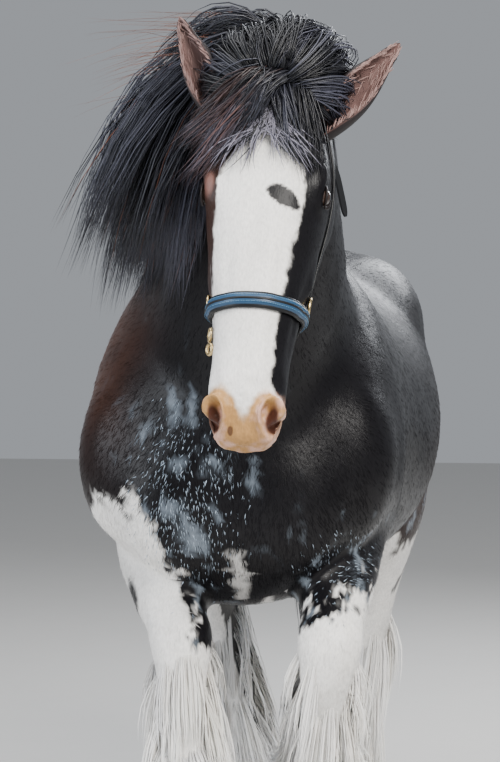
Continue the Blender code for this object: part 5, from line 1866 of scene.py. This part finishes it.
@dataclass
class ShortCoat:
    """Short tufts that lie along the body and break its outline."""

    skin: Thing
    markings: Markings
    body_tufts: int = 40000
    face_tufts: int = 11000
    leg_tufts: int = 16000

    def build(self) -> list[Thing]:
        """Sets the tufts on the skin.

        Returns:
            The pieces.
        """
        rng = np.random.default_rng(8)
        mesh = self.skin.data
        mesh.calc_loop_triangles()
        corners = np.empty(len(mesh.loop_triangles) * 3, int)
        mesh.loop_triangles.foreach_get("vertices", corners)
        corners = corners.reshape(-1, 3)
        points = points_of(self.skin)
        a, b, c = (points[corners[:, i]] for i in range(3))
        cross = np.cross(b - a, c - a)
        area = np.linalg.norm(cross, axis=1) / 2
        normal = unit(cross)
        centre = (a + b + c) / 3
        along, side, up = head_places(centre)
        face = (along > 0.02) & (along < 0.66) & (np.abs(side) < 0.18) & (up > -0.34)
        muzzle = (along >= 0.66) & (along < 0.85) & (np.abs(side) < 0.18) & (up > -0.34)
        leg = (centre[:, 2] < 0.98) & ~face & ~muzzle
        chest = (centre[:, 1] < -0.5) & (np.abs(centre[:, 2] - 1.15) < 0.25) & (np.abs(centre[:, 0]) < 0.3)
        groups = [
            (
                "body_coat", area * (~face & ~leg & ~muzzle) * (1 + 2.5 * chest), self.body_tufts, 0.019,
                0.0034,
            ),
            ("face_coat", area * face, self.face_tufts, 0.0085, 0.002),
            ("leg_coat", area * leg, self.leg_tufts, 0.017, 0.0032),
        ]
        made = []
        for name, weight, count, length, wide in groups:
            chosen = rng.choice(len(area), count, p=weight / weight.sum())
            mix = rng.dirichlet((1, 1, 1), count)
            root = a[chosen] * mix[:, :1] + b[chosen] * mix[:, 1:2] + c[chosen] * mix[:, 2:]
            out = normal[chosen]
            lie = self.lie(root, name) + rng.normal(0, 0.16, (count, 3))
            lie = unit(lie - out * np.sum(lie * out, axis=1, keepdims=True))
            size = (length * rng.uniform(0.65, 1.3, count))[:, None]
            rise = rng.uniform(0.03, 0.1, count)[:, None]
            paths = np.stack([root - out * 0.0004, root + lie * size + out * size * rise], axis=1)
            widths = wide * rng.uniform(0.6, 1.2, count)
            colours = self.markings.colours(root)
            fleck = (self.markings.roan_share(root) > rng.uniform(0.25, 1.5, count))[:, None]
            paths[:, 1] = np.where(fleck, root + (paths[:, 1] - root) * 0.65, paths[:, 1])
            colours = np.where(
                fleck, np.array(BLUE_ROAN)[None] * rng.uniform(0.5, 1.6, (count, 1)), colours
            )
            tints = strand_tints(colours, 2, rng, 0.03, 0.05)
            for piece in Coat(SHORT_COAT).pieces(name, paths, widths, 0.25, out, tints):
                made.append(soften_shading(piece, out, 4, 0.2))
        return made

    def lie(self, points: Points, name: str) -> Points:
        """The direction that the coat lies in: back and down, and down the face and legs.

        Args:
            points: Rows of x, y, z.
            name: The coat piece that they belong to.

        Returns:
            One direction for each point.
        """
        if name == "face_coat":
            along, _, _ = head_axes()
            return np.repeat(np.array([list(along)]), len(points), axis=0)
        if name == "leg_coat":
            return np.repeat(np.array([[0.0, 0.12, -1.0]]), len(points), axis=0)
        down = np.clip(1.2 - 0.5 * np.abs(points[:, 1]), 0.4, 1.2)
        return np.stack([np.zeros(len(points)), np.ones(len(points)), -down], axis=1)


# Eyes, ears and hooves


@dataclass
class Eye:
    """An eyeball with a brown iris and a wide pupil, and its lids."""

    side: Side
    place: tuple[float, float, float] = (0.245, 0.104, -0.016)
    radius: float = 0.0225

    def build(self) -> list[Thing]:
        """Makes the eyeball and its lids.

        Returns:
            The pieces.
        """
        hand = self.side.value
        centre = on_head((self.place[0], self.place[1] * hand, self.place[2]))
        along, side, up = head_axes()
        out = (side * hand * 0.96 + up * 0.1 + along * -0.12).normalized()
        across = (along - out * along.dot(out)).normalized()
        lift = out.cross(across).normalized()
        ball = blob("eyeball_" + self.side.label, centre, (self.radius,) * 3, (across, lift, out), 40)
        rows = points_of(ball) - np.array(centre)
        a, b, c = (rows @ np.array(axis) for axis in (across, lift, out))
        spread = np.sqrt(a**2 + b**2)
        bulge = 0.0018 * bump((spread, 0.0, 0.012)) * (c > 0)
        moved = rows + np.array(out) * bulge[:, None] + np.array(centre)
        ball.data.vertices.foreach_set("co", moved.ravel())
        iris = blend_to(0.015, 0.0135, spread) * (c > 0)
        pupil = blend_to(1.15, 0.9, (a / 0.0085) ** 2 + (b / 0.0042) ** 2) * (c > 0)
        tone = mixed(np.array(EYE_RIM), IRIS_BROWN, iris)
        colour_points(ball, np.clip(tone * (1 - pupil[:, None]), 0.001, 1))
        EYE_GLASS.dress(ball)
        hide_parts("eye_" + self.side.label)
        return [ball, self.lids(centre, across, lift, out)]

    def lids(self, centre: Vector, across: Vector, lift: Vector, out: Vector) -> Thing:
        """An upper and a lower lid as one almond rim, thicker above.

        Args:
            centre: The middle of the eyeball.
            across: The way along the lids.
            lift: The way from the lower lid to the upper one.
            out: The way that the eye looks.

        Returns:
            The lids.
        """
        points, count, sides = [], 36, 8
        for i in range(count):
            angle = 2 * math.pi * i / count
            x = 0.0215 * math.cos(angle)
            y = math.copysign(abs(math.sin(angle)) ** 1.3, math.sin(angle)) * 0.0128
            spot = centre + across * x + lift * y + out * (math.sqrt(max(0.0248**2 - x * x - y * y, 0)))
            away = (across * x + lift * (y * 2.2)).normalized()
            rim = 0.0034 + 0.002 * max(y, 0) / 0.0128
            for j in range(sides):
                turn = 2 * math.pi * j / sides
                proud = math.sin(turn) * 0.0024 - 0.0012 - 0.05 * rim
                points.append(spot + away * (math.cos(turn) * rim + rim * 0.8) + out * proud)
        faces = tube_faces(count, sides, closed=True)
        made = face_outwards(new_object("eyelids_" + self.side.label, points, faces))
        colour_points(made, np.repeat(np.array([LID_EDGE]), len(points), axis=0))
        return SKIN.dress(made)


@dataclass
class Ear:
    """A cupped ear with a dark back, a brown inside and hair in it."""

    side: Side
    base: tuple[float, float, float]
    run: tuple[float, float, float]
    front: tuple[float, float, float]
    length: float = 0.238
    wide: float = 0.044
    thick: float = 0.007

    def frame(self) -> tuple[Vector, Vector, Vector]:
        """Its directions: to the tip, to its open side, and across.

        Returns:
            The three directions.
        """
        run = Vector(self.run).normalized()
        front = Vector(self.front)
        front = (front - run * front.dot(run)).normalized()
        return run, front, run.cross(front).normalized() * self.side.value

    def spot(self, t: float, share: float, inner: float) -> Vector:
        """A point of its wall.

        Args:
            t: From base to tip.
            share: Round the cup, from -1 to 1.
            inner: 0 on its back, 1 on its inside.

        Returns:
            The point.
        """
        run, front, across = self.frame()
        swell = 0.7 + 0.3 * math.sin(math.pi * min(t * 1.25, 1)) if t < 0.8 else 0.7
        wide = self.wide * swell * max(1 - t**2.6, 0) ** 0.6 + 0.0012
        thick = self.thick * (1 - 0.6 * t) * inner
        reach = max(wide - thick, 0.0006)
        centre = on_head(self.base) + run * (t * self.length - 0.02) + front * (
            0.018 * math.sin(math.pi * t) + thick * 0.3
        )
        angle = math.radians(150 - 60 * t) * share
        return centre + across * (math.sin(angle) * reach) - front * (math.cos(angle) * reach * 0.85)

    def build(self) -> list[Thing]:
        """Makes the ear and the hair inside it.

        Returns:
            The pieces.
        """
        spans, arc = 28, 25
        shares = [2 * j / (arc - 1) - 1 for j in range(arc)]
        places = [(i / spans, share, wall) for wall in (0, 1) for i in range(spans + 1) for share in shares]
        points = [self.spot(*place) for place in places]
        half, faces = (spans + 1) * arc, []
        for i in range(spans):
            for j in range(arc - 1):
                a, b, c, d = i * arc + j, i * arc + j + 1, (i + 1) * arc + j + 1, (i + 1) * arc + j
                faces += [(a, b, c, d), (half + d, half + c, half + b, half + a)]
            for j in (0, arc - 1):
                a, d = i * arc + j, (i + 1) * arc + j
                faces.append((a, d, half + d, half + a))
        for j in range(arc - 1):
            for i in (0, spans):
                a, b = i * arc + j, i * arc + j + 1
                faces.append((a, b, half + b, half + a))
        shell = face_outwards(new_object("ear_shell_" + self.side.label, points, faces))
        inside = np.concatenate([np.zeros(half), np.ones(half)])
        rows = np.array([list(p) for p in points])
        shade = 0.5 + 0.5 * layered_noise(rows, 0.02, 6)
        warm = np.array(EAR_INSIDE) * (0.75 + 0.4 * shade[:, None])
        tone = np.array(EAR_BACK) * (1 - inside[:, None]) + warm * inside[:, None]
        colour_points(shell, np.clip(tone, 0.004, 1))
        EAR_SKIN.dress(shell)
        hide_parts("ear_" + self.side.label)
        return [shell, *self.hair()]

    def hair(self) -> list[Thing]:
        """Fine hair on the inside and the rims.

        Returns:
            The pieces.
        """
        rng = np.random.default_rng(40 + self.side.value)
        run, front, across = (np.array(v) for v in self.frame())
        ends, flats, tones = [], [], []
        for i in range(520):
            t, share = rng.uniform(0.04, 0.93), rng.uniform(-1, 1)
            if i % 3:
                share = math.copysign(rng.uniform(0.72, 1.0), share)
            root = np.array(self.spot(t, share, 0.9))
            size = rng.uniform(0.018, 0.04) * (1 - 0.5 * t)
            rim = abs(share) > 0.95
            inward = math.copysign(0.0 if rim else 0.35, share)
            size *= 0.5 if rim else 1.0
            way = run * 0.9 + front * (0.15 if rim else 0.3) - across * inward + rng.normal(0, 0.12, 3)
            ends.append(
                [root, root + way * size * 0.3 + front * 0.002, root + way * size * 0.7, root + way * size]
            )
            flats.append(front + rng.normal(0, 0.3, 3))
            tones.append(np.array(EAR_RIM_HAIR) if rim else np.array(EAR_HAIR) * rng.uniform(0.75, 1.15))
        paths = bezier(np.array(ends), 5)
        tints = strand_tints(np.array(tones), 5, rng)
        made = Coat(EAR_SKIN).pieces(
            "ear_hair_" + self.side.label, paths, rng.uniform(0.0012, 0.0028, len(paths)), 0.4,
            unit(np.array(flats)), tints,
        )
        return [
            soften_shading(piece, np.repeat(front[None], len(paths), axis=0), 13, 0.4) for piece in made
        ]


@dataclass
class Hoof:
    """A hoof with a ringed wall, a rounded sole edge and a coronet."""

    leg: str
    body: Body
    height: float = 0.118
    top_size: float = 0.078
    sole_size: float = 0.102
    slope: float = 0.055
    gap: float = 0.0003
    _tree: BVHTree | None = None

    def axes(self) -> tuple[Vector, Vector, Vector]:
        """The middle of its top, its way down and its way to the toe.

        Returns:
            The place and the two directions.
        """
        last = self.body.leg_rings(self.leg)[-1]
        if self.leg.startswith("hind"):
            top = Vector((*last.centre[:2], PLATE_TOP + self.gap + self.height))
            return top, Vector((0, 0, -1)), Vector((0, -1, 0))
        down = Vector((0, -0.34, -0.94)) if self.leg == "fore_right" else Vector((0, 0.62, -0.78))
        down.normalize()
        toe = (last.up_axis - down * last.up_axis.dot(down)).normalized()
        return last.centre + toe * 0.004, down, toe

    def ring(self, depth: float, size: float) -> Ring:
        """Its cross-section at a share of its height.

        Args:
            depth: The share of the hoof's height.
            size: Its half width.

        Returns:
            The cross-section.
        """
        top, down, toe = self.axes()
        centre = top + down * (depth * self.height) + toe * (depth * self.slope)
        return Ring(centre, toe, toe.cross(down).normalized(), size * 0.98, size * 1.04, size * 0.86, 2.25)

    def cover_rings(self) -> list[Ring]:
        """Rings over the hoof for the feather to follow.

        Returns:
            The rings.
        """
        side = self.body.leg_rings(self.leg)[-1].side_axis
        made = []
        for depth in (0.25, 0.5, 0.75, 1.0):
            size = self.top_size + (self.sole_size - self.top_size) * depth
            made.append(self.ring(depth, size)._replace(side_axis=side))
        return made

    def build(self) -> Thing:
        """Makes the hoof.

        Returns:
            The hoof.
        """
        table = [(0.0, 0.0), (0.03, 0.03), (0.12, 0.08), (0.9, 0.94), (0.975, 1.0), (1.0, 0.97)]
        rings = []
        for (d0, g0), (d1, g1) in zip(table, table[1:]):
            spans = 26 if d1 == 0.9 else 2
            for i in range(spans):
                depth, grow = d0 + (d1 - d0) * i / spans, g0 + (g1 - g0) * i / spans
                ripple = 0.0007 * math.sin(depth * 60) * (depth > 0.1)
                rings.append(
                    self.ring(depth, self.top_size + (self.sole_size - self.top_size) * grow + ripple)
                )
        rings.append(self.ring(1.0, self.sole_size * 0.97))
        made = loft(self.leg + "_hoof_wall", rings, 56, 1)
        HORN.dress(made, 50)
        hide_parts(self.leg + "_hoof")
        self._tree = tree_of(made)
        return made

    def tree(self) -> BVHTree:
        """A search tree over the built hoof."""
        assert self._tree is not None
        return self._tree


# Halter, stand and studio


@dataclass
class Halter:
    """A padded noseband, cheek straps, a crown, a chin strap and their fittings."""

    tree: BVHTree
    strap_width: float = 0.026
    strap_thick: float = 0.006
    band_width: float = 0.036
    band_thick: float = 0.014
    band_place: float = 0.472
    band_tilt: float = 0.024
    head_middle: float = -0.09

    def laid(self, aims: Sequence[tuple[Vector, Vector]]) -> Route:
        """Points and normals where lines from the head's middle leave the surface.

        Args:
            aims: For each line where it starts and the place that it aims at.

        Returns:
            The points and the normals.
        """
        centres, normals = [], []
        for start, aim in aims:
            way = (aim - start).normalized()
            hit, normal, _, _ = self.tree.ray_cast(start + way * 0.6, -way)
            if hit is None:
                hit, normal = aim, way
            centres.append(hit)
            normals.append(way.lerp(normal, 0.5).normalized())
        return centres, normals

    def head_path(self, places: Sequence[Sequence[float]], steps: int) -> Route:
        """A path over the head near places of its own frame.

        Args:
            places: Places along the head, to its left and out of its face.
            steps: Spans between two places.

        Returns:
            The points and the normals.
        """
        aims = []
        for row in through(places, steps):
            level = self.head_middle + (row[2] - self.head_middle) * 1.5
            aims.append((on_head((row[0], 0, self.head_middle)), on_head((row[0], row[1] * 1.5, level))))
        return self.laid(aims)

    def ribbon(
        self, name: str, path: Route, width: float, low: float, high: float, closed: bool = False,
        pad: float = 0.3,
    ) -> Thing:
        """A strap with a rounded section.

        Args:
            name: The object's name.
            path: Its points and the way its flat side faces.
            width: Across it.
            low: Its underside over the skin.
            high: Its top over the skin.
            closed: Whether it runs right round.
            pad: How much its edges are rounded.

        Returns:
            The strap.
        """
        centres, normals = path
        section = []
        for angle in np.linspace(0, 2 * math.pi, 16, endpoint=False):
            c, s = math.cos(angle), math.sin(angle)
            section.append((math.copysign(abs(c) ** pad, c), math.copysign(abs(s) ** pad, s)))
        count, points = len(centres), []
        for i, (centre, normal) in enumerate(zip(centres, normals)):
            after = centres[(i + 1) % count] if closed or i < count - 1 else centre
            before = centres[i - 1] if closed or i > 0 else centre
            run = (after - before).normalized()
            out = (normal - run * normal.dot(run)).normalized()
            across = run.cross(out)
            for aside, rise in section:
                edge = centre + across * (aside * width / 2)
                near, slope, _, _ = self.tree.find_nearest(edge)
                points.append(near + slope * low + out * ((rise * 0.5 + 0.5) * (high - low)))
        return face_outwards(new_object(name, points, tube_faces(count, len(section), closed)))

    def strap(self, name: str, path: Route, node: str, narrow: float = 1.0) -> Thing:
        """A black leather strap in place of one of the solids.

        Args:
            name: The strap's name.
            path: Its points and normals.
            node: The solid that it replaces.
            narrow: Its width over the usual one.

        Returns:
            The strap.
        """
        width = self.strap_width * narrow
        made = BLACK_STRAP.dress(self.ribbon(name, path, width, 0.0008, self.strap_thick, False, 0.35))
        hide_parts(node)
        return made

    def stitches(self, path: Route) -> list[Thing]:
        """Two rows of short threads along the noseband.

        Args:
            path: The noseband's points and normals.

        Returns:
            The pieces.
        """
        centres, normals = path
        shape = bmesh.new()
        for i in range(len(centres)):
            a, b, normal = centres[i], centres[(i + 1) % len(centres)], normals[i]
            run = (b - a).normalized()
            across = run.cross(normal).normalized()
            for share in (0.15, 0.65):
                for aside in (-0.0075, 0.0075):
                    spot = a.lerp(b, share) + across * aside + normal * (self.band_thick + 0.0002)
                    turn = Matrix((run, across, run.cross(across))).transposed().to_4x4()
                    place = Matrix.Translation(spot) @ turn @ Matrix.Diagonal((0.0022, 0.0006, 0.0006, 1))
                    bmesh.ops.create_icosphere(shape, subdivisions=1, radius=1, matrix=place)
        mesh = bpy.data.meshes.new("noseband_thread")
        shape.to_mesh(mesh)
        shape.free()
        return [THREAD.dress(link("noseband_thread", mesh))]

    def torus(self, name: str, place: Vector, axis: Vector, major: float, minor: float) -> Thing:
        """A metal ring facing one way.

        Args:
            name: Its name.
            place: Its middle.
            axis: The way that it faces.
            major: Its radius.
            minor: The radius of its wire.

        Returns:
            The ring.
        """
        turn = axis.to_track_quat("Z", "Y").to_euler()
        bpy.ops.mesh.primitive_torus_add(
            location=place, rotation=turn, major_radius=major, minor_radius=minor, major_segments=36,
            minor_segments=12,
        )
        made = bpy.context.object
        made.name = name
        return FITTING.dress(face_outwards(bake_place(made)))

    def build(self) -> list[Thing]:
        """Makes the halter.

        Returns:
            The pieces.
        """
        made, aims = [], []
        for angle in np.radians(np.arange(0, 360, 5)):
            a = self.band_place + self.band_tilt * math.sin(angle)
            aims.append((on_head((a, 0, -0.085)), on_head((a, math.cos(angle), -0.085 + math.sin(angle)))))
        band = self.laid(aims)
        pad = self.ribbon("noseband_pad", band, self.band_width * 0.66, 0.001, self.band_thick, True, 0.8)
        edge = self.ribbon(
            "noseband_edge", band, self.band_width * 0.92, 0.0005, self.band_thick * 0.72, True, 0.6
        )
        line = self.ribbon(
            "noseband_line", band, self.band_width * 0.17, 0.004, self.band_thick + 0.0012, True, 0.6
        )
        BLUE_STRAP.dress(pad)
        BLACK_STRAP.dress(edge)
        BLACK_STRAP.dress(line)
        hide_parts("halter_noseband")
        made += [pad, edge, line, *self.stitches(band)]
        for side in Side:
            cheek = [
                (0.465, 0.095, -0.1), (0.36, 0.115, -0.11), (0.2, 0.12, -0.095), (0.075, 0.115, -0.055)
            ]
            path = self.head_path([(a, s * side.value, u) for a, s, u in cheek], 9)
            made.append(self.strap("cheek_strap_" + side.label, path, "halter_cheek_" + side.label))
            start, normal = path[0][2], path[1][2]
            made.append(
                self.torus("cheek_ring_" + side.label, start + normal * 0.009, normal, 0.019, 0.0034)
            )
        crown = [(0.085, 0.115, -0.06), (0.035, 0.1, -0.02), (-0.005, 0.06, 0.03), (-0.012, 0.0, 0.05)]
        crown += [(a, -s, u) for a, s, u in reversed(crown[:-1])]
        over = self.strap("crown_strap", self.head_path(crown, 8), "halter_crown")
        chin = [(0.472, 0.085, -0.11), (0.49, 0.07, -0.17), (0.5, 0.0, -0.2)]
        chin += [(a, -s, u) for a, s, u in reversed(chin[:-1])]
        under = self.strap("chin_strap", self.head_path(chin, 8), "halter_chin", 0.8)
        return [*made, over, under, self.tongue(), *self.hanger()]

    def tongue(self) -> Thing:
        """The loose end of the crown strap, hanging beside the left cheek.

        Returns:
            The strap's end.
        """
        bends = [(0.252, -1.262, 1.9), (0.27, -1.272, 1.862)]
        line = through([*bends, (0.281, -1.276, 1.818), (0.2895, -1.278, 1.775)], 8)
        points = []
        for i, spot in enumerate(line):
            run = unit(line[min(i + 1, len(line) - 1)] - line[max(i - 1, 0)])
            across = unit(np.cross(run, np.array([0.75, -0.66, 0.0])))
            out = np.cross(across, run)
            half = 0.0085 * (
                1 if i < len(line) - 4 else math.sqrt(max(1 - ((i - len(line) + 5) / 4.3) ** 2, 0.02))
            )
            for aside, rise in ((-1, -1), (-0.8, 1), (0.8, 1), (1, -1)):
                points.append(spot + across * half * aside + out * 0.0016 * rise)
        tongue = face_outwards(new_object("crown_strap_end", points, tube_faces(len(line), 4)))
        return BLACK_STRAP.dress(tongue, 40)

    def hanger(self) -> list[Thing]:
        """A brass link and snap below the noseband on the right.

        Returns:
            The pieces.
        """
        centres, normals = self.head_path(
            [(0.515, -0.088, -0.06), (0.545, -0.086, -0.062), (0.575, -0.084, -0.064)], 4
        )
        link = self.torus("noseband_link", centres[2] + normals[2] * 0.006, normals[2], 0.0125, 0.0032)
        low = self.torus(
            "noseband_snap", centres[6] + normals[6] * 0.006,
            (normals[6] + Vector((0, -0.5, 0))).normalized(), 0.0095, 0.0036,
        )
        return [link, low]


@dataclass
class Stand:
    """The plate and two rods of the display stand."""

    rods: dict[str, tuple[float, float]] = field(
        default_factory=lambda: {"right": (-0.17, -0.2), "left": (0.145, -0.2)}
    )
    rod_radius: float = 0.018
    flange_radius: float = 0.055
    flange_height: float = 0.012

    def build(self) -> None:
        """Makes the rods afresh and finishes the plate."""
        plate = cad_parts["stand_plate"]
        plate.data.materials.clear()
        plate.data.materials.append(STAND_PAINT.material())
        for name, (x, y) in self.rods.items():
            low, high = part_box("stand_rod_" + name)
            top = high[2] - 0.004
            bpy.ops.object.select_all(action="DESELECT")
            bpy.ops.mesh.primitive_cylinder_add(
                vertices=48, radius=self.rod_radius, depth=top - low[2], location=(x, y, (top + low[2]) / 2)
            )
            rod = bake_place(bpy.context.object)
            bpy.ops.mesh.primitive_cylinder_add(
                vertices=64, radius=self.flange_radius, depth=self.flange_height,
                location=(x, y, low[2] + self.flange_height / 2),
            )
            foot = bake_place(bpy.context.object)
            bevel = foot.modifiers.new("edge", "BEVEL")
            bevel.width = 0.002
            bevel.segments = 3
            apply_modifiers(foot)
            both = join([rod, foot], "stand_post_" + name)
            STAND_PAINT.dress(both, 35)
            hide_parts("stand_rod_" + name)


@dataclass
class Studio:
    """A pale floor, soft light and the photograph's camera."""

    camera_place: tuple[float, float, float] = (0.656, -5.81, 1.65)
    yaw: float = math.radians(7)
    pitch: float = math.radians(2.51)
    focal_pixels: float = 2300.0
    photo_height: int = 762
    sensor: float = 36.0

    def build(self) -> None:
        """Makes the floor, the lights and the camera."""
        bpy.ops.object.select_all(action="DESELECT")
        bpy.ops.mesh.primitive_plane_add(size=26, location=(0, 2, 0))
        floor = bake_place(bpy.context.object)
        floor.name = "floor"
        floor.data.materials.append(PALE_FLOOR.material())
        world = bpy.data.worlds.new("studio")
        world.use_nodes = True
        world.node_tree.nodes["Background"].inputs["Color"].default_value = (0.8, 0.84, 0.9, 1)
        world.node_tree.nodes["Background"].inputs["Strength"].default_value = 0.42
        bpy.context.scene.world = world
        self.light("key", (2.4, -4.6, 4.8), 560, 3.0, (1.0, 0.97, 0.92))
        self.light("fill", (-4.2, -3.6, 2.6), 210, 3.0, (0.88, 0.93, 1.0))
        self.light("rim", (1.8, 4.0, 4.2), 230, 2.8, (0.92, 0.95, 1.0))
        self.light("top", (-0.6, -1.0, 5.2), 160, 2.6, (1.0, 1.0, 1.0))
        self.camera()

    def light(
        self, name: str, place: tuple[float, float, float], power: float, size: float,
        tone: tuple[float, float, float],
    ) -> None:
        """A soft square light that looks at the horse.

        Args:
            name: Its name.
            place: Where it stands.
            power: Its power in watts.
            size: The length of its sides.
            tone: Its colour.
        """
        data = bpy.data.lights.new(name, "AREA")
        data.energy = power
        data.size = size
        data.color = tone
        lamp = link(name, data)
        lamp.location = place
        lamp.rotation_euler = (Vector((0, -0.5, 1.2)) - Vector(place)).to_track_quat("-Z", "Y").to_euler()

    def camera(self) -> None:
        """The camera, at the photograph's height, distance and angle."""
        data = bpy.data.cameras.new("camera")
        data.sensor_width = self.sensor
        data.lens = self.focal_pixels / self.photo_height * self.sensor
        data.clip_end = 100
        camera = link("camera", data)
        camera.location = self.camera_place
        level = Vector((-math.sin(self.yaw), math.cos(self.yaw), 0)) * math.cos(self.pitch)
        look = level - Vector((0, 0, math.sin(self.pitch)))
        camera.rotation_euler = look.to_track_quat("-Z", "Y").to_euler()
        bpy.context.scene.camera = camera


class Horse:
    """The whole animal in its halter."""

    flesh = ("torso", "neck", "head")
    limb_parts = ("leg", "cannon", "fetlock")

    def build(self) -> None:
        """Builds and reports every piece."""
        body, markings = Body(), Markings()
        skin = body.build()
        colour_points(skin, markings.colours(points_of(skin)))
        SKIN.dress(skin)
        limbs = [f"{leg}_{part}" for leg in LEG_NAMES for part in self.limb_parts]
        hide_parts(*self.flesh, *limbs)
        tree = tree_of(skin)
        LOG.info("skin built")
        ShortCoat(skin, markings).build()
        hair = LongHair(body, tree, markings)
        for piece in hair.mane():
            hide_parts("mane")
        hair.flyaways()
        for piece in hair.forelock():
            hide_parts("forelock")
        for piece in hair.tail():
            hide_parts("tail")
        for leg in LEG_NAMES:
            hoof = Hoof(leg, body)
            hoof.build()
            hair.feather(leg, hoof)
        for side in Side:
            Eye(side).build()
        Ear(Side.RIGHT, (0.06, -0.092, -0.012), (-0.5, 0.05, 1.0), (-0.35, -1, 0.1)).build()
        Ear(Side.LEFT, (0.07, 0.098, -0.02), (0.88, 0.1, 0.92), (0.35, -1, 0.1)).build()
        Halter(tree).build()


def main() -> None:
    """Builds the horse, its stand and the studio."""
    logging.basicConfig(level=logging.INFO, format="%(message)s")
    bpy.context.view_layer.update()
    Studio().build()
    Horse().build()
    Stand().build()


if __name__ == "__main__":
    main()
